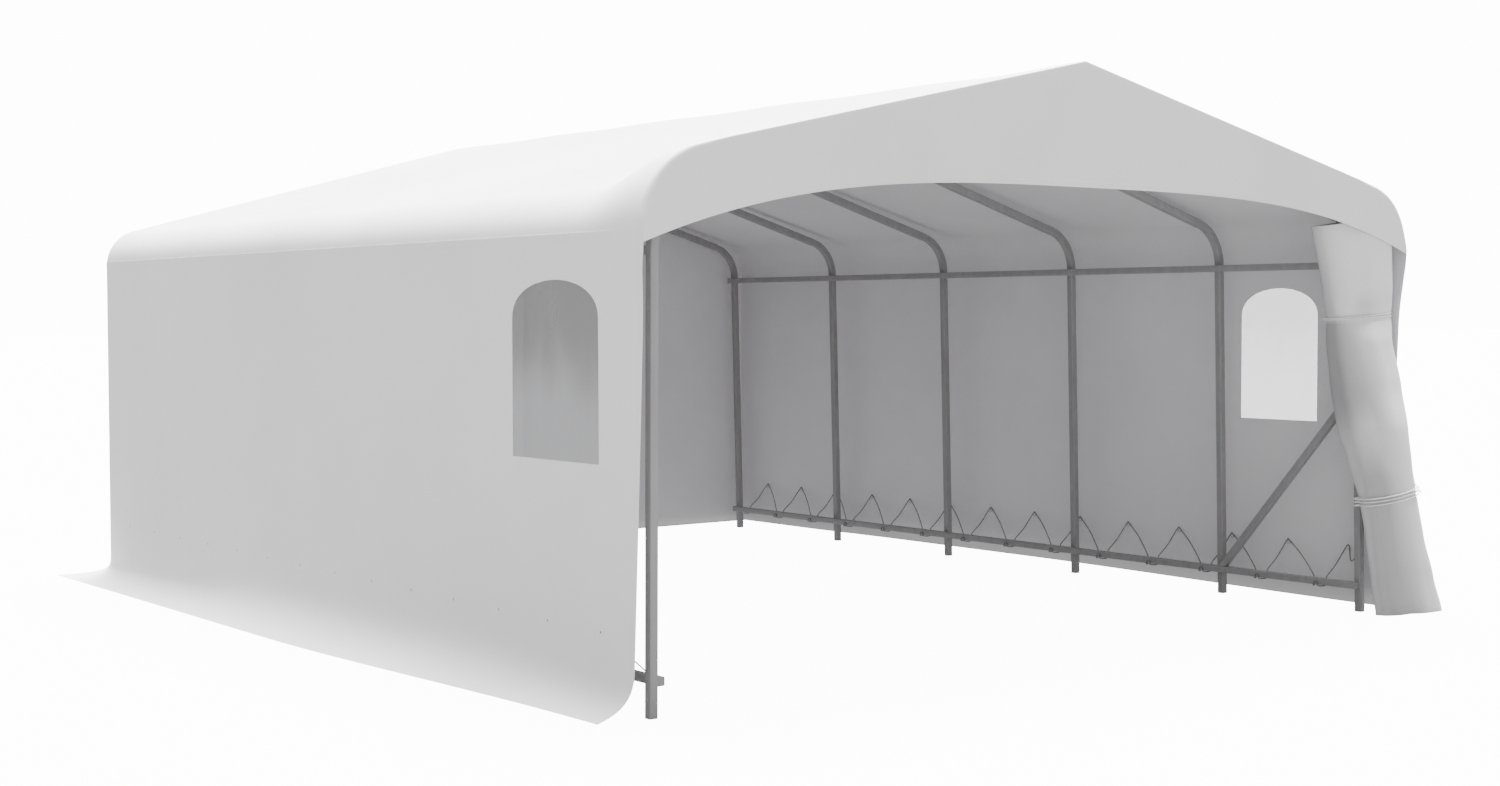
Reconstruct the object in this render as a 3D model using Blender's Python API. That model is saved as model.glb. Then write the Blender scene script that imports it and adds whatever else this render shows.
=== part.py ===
"""Fabric storage shelter: six tubular steel arches under a white cover with an open front.

Metres, +Z up. The open front faces -Y, and left and right are as seen by someone who
stands in front and looks in. Pieces are laid out from the foot line of the front arch,
and one parent empty then puts the middle of the whole footprint on the world's origin.
"""

import math

import bmesh
import bpy
from mathutils import Matrix, Vector

# Driving sizes of the frame
FOOT_HALF = 2.472  # from the middle of the shelter to the middle of a leg's foot
SHOULDER_HALF = {-1: 2.458, 1: 2.420}  # the same where a left or right leg starts to bend
FRONT_BAY = 0.988
BAY = 1.2192
ARCHES = 6
LEG_TUBE = 0.042
RAFTER_TUBE = 0.046
RAIL_TUBE = 0.040
CORNER = 0.004  # flat that cuts each corner of a square tube
BEND_RADIUS = 0.260
RAFTER_FALL = 0.292  # metres down for each metre out from the ridge
RIDGE_AXIS_Z = 2.900  # where the rafters' middle lines meet
BOTTOM_RAIL_Z = 0.154
SIDE_PURLIN_Z = 1.983
PURLIN_SHIFT = {-1: 0.0012, 1: 0.0005}  # the side purlins sit this much further in, clear of the bend
RAIL_OVERRUN = 0.012  # how far a rail runs past the middle of the end legs
LEFT_PURLIN_Y = 0.070  # the left side purlin starts here, behind the front leg
BRACE_FOOT_Y = 0.945
BRACE_HEAD_Z = 1.262
GAP = 0.0003  # between pieces that touch
MITRE_GAP = 0.0005  # along Y, between the rear wall and the sheets that meet it at 45 degrees

# Driving sizes of the cover
CLOTH = 0.005
WALL_HALF = 2.610  # from the middle of the shelter to the wall's outer face
SPLIT_Z = 2.060  # where the roof sheet meets the wall sheet
REAR_Y = 6.020
GABLE_Y = -0.160
SKIRT_Z = 0.300  # the walls start to flare here
SKIRT_FRONT_REACH = 0.125  # how far the skirt spreads at the front corners
SKIRT_REACH = 0.265  # and along the rest
SKIRT_FULL_Y = 3.0  # the side skirt reaches its full width here
FRONT_POWER, MIDDLE_POWER, CORNER_POWER = 6, 3.5, 12  # the higher, the flatter the skirt lies
REAR_POWER = 5  # in the middle of the rear wall
SKIRT_ROWS = [0.0, 0.008, 0.02, 0.04, 0.07, 0.11, 0.17, SKIRT_Z]
BROW_LENGTH = 0.55  # the roof swells to its front shape over this length
BODY_FALL, BODY_RADIUS = 0.272, 0.200  # slope of the roof and radius of its shoulder
BROW_FALL, BROW_RADIUS, BROW_RISE = 0.220, 0.360, 0.0105  # the same at the front edge
BROW_BULGE = {-1: 0.012, 1: 0.045}  # how far each front shoulder stands out past its wall
BROW_LOW_Z = 1.660  # the front shoulders' bulge dies out at this height
WALL_ROWS = [0.7, 1.15, BROW_LOW_Z, 1.8, 1.93, SPLIT_Z - GAP]
WALL_SHARES = [0.0, 0.03, 0.06, 0.1, 0.2, 0.32, 0.45, 0.6, 0.75, 0.88, 1.0]
VALANCE_CROWN_Z = 2.325
VALANCE_DROP = {-1: 0.317, 1: 0.265}  # how far the valance falls to its left and right ends
VALANCE_POWER = {-1: 3.1, 1: 3.4}
WALL_LEAN_Y = 0.095  # how far the wall's front edge runs back towards the ground

# Driving sizes of the windows, curtain and lacing
WINDOW_SILL_Z = 1.072
WINDOW_SPRING_Z = 1.690
WINDOW_CROWN_Z = 1.862
LEFT_WINDOW_Y = (0.185, 0.890)
RIGHT_WINDOW_Y = (0.405, 0.965)
CURTAIN_TOP_Z = 2.180  # at its left end
CURTAIN_TOP_RISE = 0.15  # slope of the top, which climbs to the right behind the gable
UPPER_TIE_Z = 1.694
LOWER_TIE_Z = 0.660
TIE_SLOPE = {UPPER_TIE_Z: 0.05, LOWER_TIE_Z: 0.10}  # the ties climb to the right
TIE_MIDDLE_X = 2.400
TIE_HEIGHT = 0.030
TIE_THICK = 0.005
TIE_WAIST = 0.006  # how deep a tie draws the curtain in all round
ROPE_RADIUS = 0.003
FIRST_PEAK_Y = 0.178
PEAK_PITCH = 0.4222
PEAKS = 14
PEAK_Z = 0.352

ARCH_Y = [0.0] + [FRONT_BAY + BAY * i for i in range(ARCHES - 1)]
RAFTER_ANGLE = math.atan(RAFTER_FALL)
BEND_TURN = math.pi / 2 - RAFTER_ANGLE
RAFTER_TOP_Z = RIDGE_AXIS_Z + (RAFTER_TUBE / 2) / math.cos(RAFTER_ANGLE)
BODY_RIDGE_Z = RAFTER_TOP_Z + GAP + CLOTH / math.cos(math.atan(BODY_FALL))
SIDES = {"left": -1, "right": 1}


def bend_start_z(side):
    """Height where a leg starts to bend."""
    return RIDGE_AXIS_Z - RAFTER_FALL * SHOULDER_HALF[side] - BEND_RADIUS * math.tan(BEND_TURN / 2)


def leg_x(side, z):
    """Half width to the middle of a leg at a height: the legs lean in a little."""
    return FOOT_HALF + (SHOULDER_HALF[side] - FOOT_HALF) * z / bend_start_z(side)


def inner_side_x(side, z):
    """Half width to the middle of a rail that lies on the legs' inner sides at a height."""
    return leg_x(side, z) - (LEG_TUBE + RAIL_TUBE) / 2 - GAP


def rail_x(side):
    """Half width to the middle of a bottom rail."""
    return inner_side_x(side, BOTTOM_RAIL_Z + RAIL_TUBE / 2)


def clear_scene():
    """Removes whatever the file opened with."""
    for old in list(bpy.data.objects):
        bpy.data.objects.remove(old, do_unlink=True)


def material(name, colour, roughness, metallic=0.0, alpha=1.0):
    """A plain Principled finish."""
    made = bpy.data.materials.new(name)
    made.use_nodes = True
    shader = made.node_tree.nodes["Principled BSDF"]
    shader.inputs["Base Color"].default_value = (*colour, 1.0)
    shader.inputs["Roughness"].default_value = roughness
    shader.inputs["Metallic"].default_value = metallic
    shader.inputs["Alpha"].default_value = alpha
    return made


def add_object(name, data, finish, parent, at=(0, 0, 0)):
    """Puts mesh or curve data in the scene as one named piece."""
    piece = bpy.data.objects.new(name, data)
    data.materials.append(finish)
    bpy.context.scene.collection.objects.link(piece)
    piece.parent = parent
    piece.location = at
    return piece


def finish_mesh(bm, name):
    """Turns a closed bmesh outwards and gives it back as a mesh."""
    bmesh.ops.recalc_face_normals(bm, faces=bm.faces[:])
    mesh = bpy.data.meshes.new(name)
    bm.to_mesh(mesh)
    bm.free()
    return mesh


def tube_section(bm, size, frame):
    """A square face with cut corners, in the frame's own XY plane."""
    half = size / 2
    near = half - CORNER
    outline = []
    for turn in range(4):
        quarter = Matrix.Rotation(turn * math.pi / 2, 4, "Z")
        outline += [quarter @ Vector((half, -near, 0)), quarter @ Vector((half, near, 0))]
    return bm.faces.new([bm.verts.new(frame @ point) for point in outline])


def extrude(bm, face, by):
    """Pulls a face along a vector and gives back the face at the far end."""
    made = bmesh.ops.extrude_face_region(bm, geom=[face])["geom"]
    moved = [item for item in made if isinstance(item, bmesh.types.BMVert)]
    bmesh.ops.translate(bm, verts=moved, vec=by)
    return next(item for item in made if isinstance(item, bmesh.types.BMFace))


def add_leg(name, side, arch_y, finish, parent):
    """A leg that stands on the ground and bends over at the shoulder towards the rafter."""
    lean = FOOT_HALF - SHOULDER_HALF[side]
    start_z = bend_start_z(side)
    bm = bmesh.new()
    foot = tube_section(bm, LEG_TUBE, Matrix.Identity(4))
    shoulder = extrude(bm, foot, Vector((-side * lean, 0, start_z)))
    bmesh.ops.spin(
        bm,
        geom=[shoulder, *shoulder.edges, *shoulder.verts],
        cent=(-side * (lean + BEND_RADIUS), 0, start_z),
        axis=(0, 1, 0),
        angle=-side * BEND_TURN,
        steps=7,
        use_duplicate=False,
    )
    mesh = finish_mesh(bm, name)
    return add_object(name, mesh, finish, parent, (side * FOOT_HALF, arch_y, 0))


def add_rafter(name, side, arch_y, finish, parent):
    """A straight rafter from the end of the bend to the ridge, cut plumb at the ridge."""
    start = Vector((
        side * (SHOULDER_HALF[side] - BEND_RADIUS * (1 - math.cos(BEND_TURN))),
        0,
        bend_start_z(side) + BEND_RADIUS * math.sin(BEND_TURN),
    ))
    along = Vector((-side * math.cos(RAFTER_ANGLE), 0, math.sin(RAFTER_ANGLE)))
    frame = Matrix.Translation(start + along * GAP) @ along.to_track_quat("Z", "Y").to_matrix().to_4x4()
    bm = bmesh.new()
    extrude(bm, tube_section(bm, RAFTER_TUBE, frame), along * (FOOT_HALF + LEG_TUBE))
    cut = bmesh.ops.bisect_plane(
        bm,
        geom=bm.verts[:] + bm.edges[:] + bm.faces[:],
        plane_co=(side * GAP / 2, 0, 0),
        plane_no=(-side, 0, 0),
        clear_outer=True,
    )["geom_cut"]
    rim = [item for item in cut if isinstance(item, bmesh.types.BMEdge)]
    bmesh.ops.contextual_create(bm, geom=rim)
    return add_object(name, finish_mesh(bm, name), finish, parent, (0, arch_y, 0))


def add_rail(name, x, z, y_from, y_to, finish, parent):
    """A straight square tube that runs from front to back."""
    frame = Matrix.Rotation(-math.pi / 2, 4, "X")
    bm = bmesh.new()
    extrude(bm, tube_section(bm, RAIL_TUBE, frame), Vector((0, y_to - y_from, 0)))
    return add_object(name, finish_mesh(bm, name), finish, parent, (x, y_from, z))


def add_brace(name, side, finish, parent):
    """A diagonal tube from the bottom rail beside the second leg up to the front leg."""
    foot_z = BOTTOM_RAIL_Z + RAIL_TUBE / 2 + GAP
    foot = Vector((0, BRACE_FOOT_Y, foot_z))
    along = (Vector((0, 0, BRACE_HEAD_Z)) - foot).normalized()
    start = foot - along * RAIL_TUBE
    frame = Matrix.Translation(start) @ along.to_track_quat("Z", "X").to_matrix().to_4x4()
    bm = bmesh.new()
    extrude(bm, tube_section(bm, RAIL_TUBE, frame), along * (BRACE_HEAD_Z * 1.4))
    for point, normal in ((foot, (0, 0, -1)), (Vector((0, -LEG_TUBE / 2, 0)), (0, -1, 0))):
        cut = bmesh.ops.bisect_plane(
            bm,
            geom=bm.verts[:] + bm.edges[:] + bm.faces[:],
            plane_co=point,
            plane_no=normal,
            clear_outer=True,
        )["geom_cut"]
        rim = [item for item in cut if isinstance(item, bmesh.types.BMEdge)]
        bmesh.ops.contextual_create(bm, geom=rim)
    for vert in bm.verts:
        vert.co.x += side * inner_side_x(side, vert.co.z)
    return add_object(name, finish_mesh(bm, name), finish, parent)


def shell_mesh(name, outer, inner):
    """A closed sheet between two grids of points that have the same rows and columns."""
    bm = bmesh.new()
    skins = [[[bm.verts.new(point) for point in row] for row in grid] for grid in (outer, inner)]
    rows, columns = len(outer), len(outer[0])
    for skin in skins:
        for i in range(rows - 1):
            for j in range(columns - 1):
                bm.faces.new((skin[i][j], skin[i][j + 1], skin[i + 1][j + 1], skin[i + 1][j]))
    top, under = skins
    for i in range(rows - 1):
        for j in (0, columns - 1):
            bm.faces.new((top[i][j], top[i + 1][j], under[i + 1][j], under[i][j]))
    for j in range(columns - 1):
        for i in (0, rows - 1):
            bm.faces.new((top[i][j], top[i][j + 1], under[i][j + 1], under[i][j]))
    return finish_mesh(bm, name)


def ease(t):
    """Nought to one with a soft start and a soft end."""
    t = min(max(t, 0.0), 1.0)
    return t * t * (3 - 2 * t)


def brow(y):
    """How much of the front edge's fuller shape the cover has at y."""
    return ease((GABLE_Y + BROW_LENGTH - y) / BROW_LENGTH)


def half_width(side, y, z):
    """Half width to the cover's outer face above the skirt."""
    return WALL_HALF + BROW_BULGE[side] * brow(y) * ease((z - BROW_LOW_Z) / (SPLIT_Z - BROW_LOW_Z))


def roof_profile(side, y, inset, arc_steps=8):
    """Half of the cover's outline at y, from the ridge to the split line, drawn in by inset."""
    ridge = BODY_RIDGE_Z + BROW_RISE * brow(y)
    fall = BODY_FALL + (BROW_FALL - BODY_FALL) * brow(y)
    radius = BODY_RADIUS + (BROW_RADIUS - BODY_RADIUS) * brow(y)
    slope = math.atan(fall)
    half = half_width(side, y, SPLIT_Z) - inset
    top, bend = ridge - inset / math.cos(slope), radius - inset
    turn = math.pi / 2 - slope
    spring = top - fall * half - bend * math.tan(turn / 2)
    points = [(0.0, top)]
    for step in range(arc_steps + 1):
        angle = turn * (1 - step / arc_steps)
        points.append((half - bend * (1 - math.cos(angle)), spring + bend * math.sin(angle)))
    points.append((half, SPLIT_Z))
    return [(side * x, z) for x, z in points]


def add_roof(name, side, finish, parent):
    """One slope of the roof with its rounded eaves, from the front edge to the rear wall."""
    swell = [GABLE_Y + BROW_LENGTH * i / 5 for i in range(6)]
    grids = []
    for inset in (0.0, CLOTH):
        grid = []
        for y in [*swell, REAR_Y - inset - MITRE_GAP]:
            (_, top), *rest = roof_profile(side, y, inset)
            grid.append([(side * GAP / 2, y, top)] + [(x, y, z) for x, z in rest])
        grids.append(grid)
    return add_object(name, shell_mesh(name, *grids), finish, parent)


def skirt_point(reach, power, z, lift):
    """The skirt's profile, as (distance out, height): lift is the distance from its inner face."""
    up = max(0.0, 1 - z / SKIRT_Z)
    slope = reach * power * up ** (power - 1) / SKIRT_Z
    across = lift / math.hypot(1, slope)
    return reach * up**power + across, z + slope * across


def side_skirt(y):
    """Reach and sharpness of the side skirt, which lies flattest near the rear corner."""
    reach = SKIRT_FRONT_REACH + (SKIRT_REACH - SKIRT_FRONT_REACH) * ease(y / SKIRT_FULL_Y)
    power = MIDDLE_POWER + (FRONT_POWER - MIDDLE_POWER) * ease((1.1 - y) / 1.2)
    return reach, power + (CORNER_POWER - MIDDLE_POWER) * ease((y - 3.6) / 1.8)


def front_edge_y(z):
    """Front edge of a side wall, which runs back as it comes down and rounds off at the ground."""
    lean = WALL_LEAN_Y * (1 - z / SPLIT_Z) ** 1.2
    corner = 0.085 * max(0.0, 1 - z / 0.2) ** 1.5
    return GABLE_Y + lean + corner


def add_wall(name, side, window_y, finish, parent):
    """A side wall with its window cut out and its skirt spread on the ground."""
    grids = []
    for lift in (CLOTH, 0.0):
        grid = []
        for z in [*SKIRT_ROWS, *WALL_ROWS]:
            front = front_edge_y(z)
            back = REAR_Y - CLOTH - MITRE_GAP + skirt_point(SKIRT_REACH, CORNER_POWER, z, lift)[0]
            row = []
            for share in WALL_SHARES:
                y = front + (back - front) * share
                out, up = skirt_point(*side_skirt(y), z, lift)
                row.append((side * (half_width(side, y, z) - CLOTH + out), y, up))
            grid.append(row)
        grids.append(grid)
    wall = add_object(name, shell_mesh(name, *grids), finish, parent)
    cutter = add_object(name + "_window_cutter", window_mesh(side, window_y, 0.0, 0.05), finish, parent)
    cutter.hide_render = True
    cutter.display_type = "WIRE"
    hole = wall.modifiers.new("window", "BOOLEAN")
    hole.object = cutter
    hole.solver = "EXACT"
    return wall


def window_mesh(side, window_y, inset, reach):
    """An arched block across a side wall: straight sides, and a flattened arch on top."""
    middle = sum(window_y) / 2
    half = (window_y[1] - window_y[0]) / 2 - inset
    rise = WINDOW_CROWN_Z - WINDOW_SPRING_Z - inset
    outline = [(middle - half, WINDOW_SILL_Z + inset), (middle + half, WINDOW_SILL_Z + inset)]
    for step in range(11):
        angle = math.pi * step / 10
        outline.append((middle + half * math.cos(angle), WINDOW_SPRING_Z + rise * math.sin(angle) ** 0.85))
    bm = bmesh.new()
    middle_x = side * (WALL_HALF - CLOTH / 2)
    face = bm.faces.new([bm.verts.new((middle_x - side * reach, y, z)) for y, z in outline])
    extrude(bm, face, Vector((side * 2 * reach, 0, 0)))
    return finish_mesh(bm, "window")


def add_window(name, side, window_y, finish, parent):
    """The clear sheet that closes a window, set in the wall's own thickness."""
    return add_object(name, window_mesh(side, window_y, GAP, CLOTH / 2), finish, parent)


def valance_z(x):
    """Lower edge of the front gable, a flat arch that drops towards its ends."""
    side = -1 if x < 0 else 1
    return VALANCE_CROWN_Z - VALANCE_DROP[side] * (abs(x) / WALL_HALF) ** VALANCE_POWER[side]


def whole_outline(y, inset, pieces):
    """The cover's outline at y from the left split line over the ridge to the right one.

    Each straight slope is cut into equal pieces.
    """
    halves = []
    for side in (-1, 1):
        (x0, z0), (x1, z1), *rest = roof_profile(side, y, inset)
        slope = [(x0 + (x1 - x0) * i / pieces, z0 + (z1 - z0) * i / pieces) for i in range(pieces)]
        halves.append([*slope, (x1, z1), *rest])
    left, right = halves
    return left[:0:-1] + right


def add_front_gable(name, finish, parent):
    """The gable sheet over the open front, with its arched lower edge."""
    upper = whole_outline(GABLE_Y, 0.0, 5)
    spread = len(upper) - 1
    grids = []
    for y in (GABLE_Y - CLOTH - GAP, GABLE_Y - GAP):
        low = []
        for i in range(len(upper)):
            # The columns stay apart along the lower edge, where the outline above turns vertical.
            share = 2 * i / spread - 1
            side = -1 if share < 0 else 1
            x = side * half_width(side, GABLE_Y, SPLIT_Z) * abs(share) ** 0.9
            low.append((x, y, valance_z(x)))
        grids.append([[(x, y, z) for x, z in upper], low])
    return add_object(name, shell_mesh(name, *grids), finish, parent)


def add_rear_wall(name, finish, parent):
    """The closed rear wall, gable and skirt in one sheet, mitred to the side walls."""
    grids = []
    for lift in (CLOTH, 0.0):
        upper = whole_outline(REAR_Y, CLOTH - lift, 3)
        columns = len(upper) - 1
        grid = []
        for z in SKIRT_ROWS:
            edge = WALL_HALF - CLOTH + skirt_point(SKIRT_REACH, CORNER_POWER, z, lift)[0]
            row = []
            for i in range(columns + 1):
                share = 2 * i / columns - 1
                power = REAR_POWER + (CORNER_POWER - REAR_POWER) * ease((abs(share) - 0.3) / 0.4)
                out, up = skirt_point(SKIRT_REACH, power, z, lift)
                row.append((edge * share, REAR_Y - CLOTH + out, up))
            grid.append(row)
        grid.append([(x, REAR_Y - CLOTH + lift, z) for x, z in upper])
        grids.append(grid)
    return add_object(name, shell_mesh(name, *grids), finish, parent)


# Height, then where the round left end and the round right end of the folded cloth have their
# middles, as seen from above, and the radius of both ends
CURTAIN_SHAPE = [
    (0.003, 2.450, -0.240, 2.768, -0.205, 0.098),
    (0.200, 2.438, -0.200, 2.705, -0.195, 0.095),
    (0.450, 2.399, -0.170, 2.627, -0.190, 0.085),
    (LOWER_TIE_Z, 2.354, -0.150, 2.593, -0.182, 0.070),
    (0.860, 2.290, -0.150, 2.540, -0.190, 0.080),
    (1.060, 2.227, -0.140, 2.504, -0.188, 0.085),
    (1.300, 2.200, -0.130, 2.508, -0.150, 0.085),
    (1.560, 2.162, -0.110, 2.480, -0.125, 0.078),
    (UPPER_TIE_Z, 2.156, -0.0813, 2.530, -0.0813, 0.060),
    (1.860, 2.111, -0.0893, 2.515, -0.0893, 0.068),
    (CURTAIN_TOP_Z, 2.004, -0.0920, 2.490, -0.0920, 0.068),
]


def curtain_at(z):
    """The curtain's section at a height between two rows."""
    for low, high in zip(CURTAIN_SHAPE, CURTAIN_SHAPE[1:]):
        if z <= high[0]:
            share = (z - low[0]) / (high[0] - low[0])
            return [a + (b - a) * share for a, b in zip(low[1:], high[1:])]
    return list(CURTAIN_SHAPE[-1][1:])


def curtain_ring(z, shape_z, grow=0.0, steps=5):
    """The curtain's outline near height z: a long shape with round ends, tilted at the ties."""
    left_x, left_y, right_x, right_y, radius = curtain_at(shape_z)
    lean = math.atan2(right_y - left_y, right_x - left_x)
    points = []
    for middle_x, middle_y, start in ((right_x, right_y, -math.pi / 2), (left_x, left_y, math.pi / 2)):
        for step in range(steps + 1):
            angle = lean + start + math.pi * step / steps
            x = middle_x + (radius + grow) * math.cos(angle)
            y = middle_y + (radius + grow) * math.sin(angle)
            points.append((x, y, z + TIE_SLOPE.get(shape_z, 0.0) * (x - TIE_MIDDLE_X)))
    return points


def loft_mesh(name, rings):
    """A solid skinned over closed rings of equal length, with a cap at each end."""
    bm = bmesh.new()
    loops = [[bm.verts.new(point) for point in ring] for ring in rings]
    count = len(loops[0])
    for low, high in zip(loops, loops[1:]):
        for i in range(count):
            j = (i + 1) % count
            bm.faces.new((low[i], low[j], high[j], high[i]))
    bm.faces.new(loops[0])
    bm.faces.new(loops[-1])
    return finish_mesh(bm, name)


def add_curtain(name, finish, parent):
    """One half of the front door, gathered and tied back in front of the right leg."""
    rows = [(z, z, 0.0) for z, *_ in CURTAIN_SHAPE if z not in (UPPER_TIE_Z, LOWER_TIE_Z)]
    for tie_z in (LOWER_TIE_Z, UPPER_TIE_Z):
        near, far = TIE_HEIGHT / 2 + 0.002, TIE_HEIGHT / 2 + 0.012
        rows += [(tie_z - far, tie_z, 0.0), (tie_z + far, tie_z, 0.0)]
        rows += [(tie_z - near, tie_z, -TIE_WAIST), (tie_z + near, tie_z, -TIE_WAIST)]
    rings = [curtain_ring(*row) for row in sorted(rows)]
    left_end = min(x for x, _, _ in rings[-1])
    rings[-1] = [(x, y, z + CURTAIN_TOP_RISE * (x - left_end)) for x, y, z in rings[-1]]
    return add_object(name, loft_mesh(name, rings), finish, parent)


def add_tie(name, middle_z, finish, parent):
    """A band round the curtain, in the waist that it draws in."""
    bm = bmesh.new()
    loops = []
    inner, outer = GAP - TIE_WAIST, GAP - TIE_WAIST + TIE_THICK
    low, high = middle_z - TIE_HEIGHT / 2, middle_z + TIE_HEIGHT / 2
    for grow, z in ((inner, low), (inner, high), (outer, high), (outer, low)):
        loops.append([bm.verts.new(point) for point in curtain_ring(z, middle_z, grow)])
    count = len(loops[0])
    for a, b in zip(loops, loops[1:] + loops[:1]):
        for i in range(count):
            j = (i + 1) % count
            bm.faces.new((a[i], a[j], b[j], b[i]))
    return add_object(name, finish_mesh(bm, name), finish, parent)


def rope_route(side):
    """The lacing's route from the front, up to each wall eyelet and down round the bottom rail."""
    wall_x = WALL_HALF - CLOTH - ROPE_RADIUS - GAP
    reach = RAIL_TUBE / 2 + ROPE_RADIUS + GAP
    outer, inner = rail_x(side) + reach, rail_x(side) - reach
    over, under = BOTTOM_RAIL_Z + reach, BOTTOM_RAIL_Z - reach
    half_x, half_z = (outer + wall_x) / 2, (over + PEAK_Z) / 2
    start = ARCH_Y[0] + LEG_TUBE / 2 + 0.015
    route = [(inner, start + 0.010, under), (outer, start, under), (outer, start + 0.006, over)]
    for number in range(PEAKS):
        peak = FIRST_PEAK_Y + PEAK_PITCH * number
        before = route[-1][1]
        route += [
            (half_x + 0.010, (before + peak) / 2, half_z + 0.012),
            (wall_x, peak - 0.012, PEAK_Z - 0.005),
            (wall_x, peak + 0.006, PEAK_Z),
            (half_x, peak + 0.026, half_z - 0.018),
            (outer, peak + 0.034, over),
            (outer, peak + 0.040, under),
            (inner, peak + 0.058, under),
        ]
        if number < PEAKS - 1:
            route += [
                (inner, peak + 0.066, BOTTOM_RAIL_Z - 0.004),
                (inner, peak + 0.084, BOTTOM_RAIL_Z - 0.004),
                (inner, peak + 0.092, under),
                (outer, peak + 0.115, under),
                (outer, peak + 0.121, over),
            ]
    return [(side * x, y, z) for x, y, z in route]


def add_rope(name, side, finish, parent):
    """The lacing rope as a bevelled curve with closed ends."""
    route = rope_route(side)
    curve = bpy.data.curves.new(name, "CURVE")
    curve.dimensions = "3D"
    curve.bevel_depth = ROPE_RADIUS
    curve.bevel_resolution = 1
    curve.use_fill_caps = True
    spline = curve.splines.new("POLY")
    spline.points.add(len(route) - 1)
    for point, place in zip(spline.points, route):
        point.co = (*place, 1.0)
    return add_object(name, curve, finish, parent)


def main():
    clear_scene()
    steel = material("galvanised_tube", (0.26, 0.26, 0.27), 0.5, 0.6)
    cloth = material("cover_cloth", (0.80, 0.79, 0.80), 0.65)
    clear = material("window_film", (0.80, 0.82, 0.82), 0.25, alpha=0.35)
    cord = material("lacing_cord", (0.42, 0.42, 0.42), 0.8)
    base = bpy.data.objects.new("front_foot_line", None)
    bpy.context.scene.collection.objects.link(base)
    floor_z = CURTAIN_SHAPE[0][0]
    front_y = min(y for _, y, _ in curtain_ring(floor_z, floor_z))
    rear_y = REAR_Y - CLOTH + skirt_point(SKIRT_REACH, CORNER_POWER, 0.0, CLOTH)[0]
    base.location = (0, -(front_y + rear_y) / 2, 0)

    for number, arch_y in enumerate(ARCH_Y, 1):
        for word, side in SIDES.items():
            add_leg(f"arch_{number}_{word}_leg", side, arch_y, steel, base)
            add_rafter(f"arch_{number}_{word}_rafter", side, arch_y, steel, base)

    rail_ends = (-RAIL_OVERRUN, ARCH_Y[-1] + RAIL_OVERRUN)
    for word, side in SIDES.items():
        add_rail(f"bottom_rail_{word}", side * rail_x(side), BOTTOM_RAIL_Z, *rail_ends, steel, base)
        purlin_x = side * (inner_side_x(side, SIDE_PURLIN_Z + RAIL_TUBE / 2) - PURLIN_SHIFT[side])
        purlin_y = LEFT_PURLIN_Y if word == "left" else rail_ends[0]
        add_rail(f"side_purlin_{word}", purlin_x, SIDE_PURLIN_Z, purlin_y, rail_ends[1], steel, base)
    add_brace("corner_brace", SIDES["right"], steel, base)
    under_ridge = 2 * RIDGE_AXIS_Z - RAFTER_TOP_Z
    seat_half = RAIL_TUBE / 2 - CORNER
    ridge_z = under_ridge - seat_half * RAFTER_FALL - RAIL_TUBE / 2 - GAP
    add_rail("ridge_purlin", 0, ridge_z, *rail_ends, steel, base)

    windows = {"left": LEFT_WINDOW_Y, "right": RIGHT_WINDOW_Y}
    for word, side in SIDES.items():
        add_roof(f"roof_{word}", side, cloth, base)
        add_wall(f"wall_{word}", side, windows[word], cloth, base)
        add_window(f"window_{word}", side, windows[word], clear, base)
        add_rope(f"lacing_rope_{word}", side, cord, base)
    add_front_gable("front_gable", cloth, base)
    add_rear_wall("rear_wall", cloth, base)
    add_curtain("door_curtain", cloth, base)
    add_tie("curtain_tie_upper", UPPER_TIE_Z, cord, base)
    add_tie("curtain_tie_lower", LOWER_TIE_Z, cord, base)


main()
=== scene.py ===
"""Looks of the fabric storage shelter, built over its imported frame.

Metres, +Z up. The open front faces -Y. Lengths along the shelter are measured from the front
arch, as in the frame's drawing, and FOOT_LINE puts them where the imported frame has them.
"""

import logging
import math
import sys
from dataclasses import dataclass, field
from enum import Enum
from typing import Callable, Iterable, Sequence

import bmesh
import bpy
from mathutils import Matrix, Vector


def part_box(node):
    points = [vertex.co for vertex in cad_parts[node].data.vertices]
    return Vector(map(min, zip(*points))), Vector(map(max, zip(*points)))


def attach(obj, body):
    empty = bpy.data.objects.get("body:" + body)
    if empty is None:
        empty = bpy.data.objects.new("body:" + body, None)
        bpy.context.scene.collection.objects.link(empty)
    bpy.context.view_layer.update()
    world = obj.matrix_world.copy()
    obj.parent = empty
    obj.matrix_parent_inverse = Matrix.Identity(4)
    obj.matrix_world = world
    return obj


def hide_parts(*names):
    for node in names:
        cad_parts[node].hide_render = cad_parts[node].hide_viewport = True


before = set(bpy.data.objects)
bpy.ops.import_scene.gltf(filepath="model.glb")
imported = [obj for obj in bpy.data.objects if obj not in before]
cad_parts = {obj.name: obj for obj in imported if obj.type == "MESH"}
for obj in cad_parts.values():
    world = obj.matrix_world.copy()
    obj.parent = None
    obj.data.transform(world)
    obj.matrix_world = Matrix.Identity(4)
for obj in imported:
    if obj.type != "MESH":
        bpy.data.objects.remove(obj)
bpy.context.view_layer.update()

log = logging.getLogger("shelter")
Point = tuple[float, float, float]

FOOT_LINE = -2.971529  # where the front arch stands along Y
CLOTH_SMOOTH = math.radians(40)


class Side(Enum):
    """The two long sides, as seen from in front."""

    LEFT = -1
    RIGHT = 1

    @property
    def word(self) -> str:
        """The side's name in small letters."""
        return self.name.lower()


def ease(t: float) -> float:
    """Nought to one with a soft start and a soft end."""
    t = min(max(t, 0.0), 1.0)
    return t * t * (3 - 2 * t)


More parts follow.
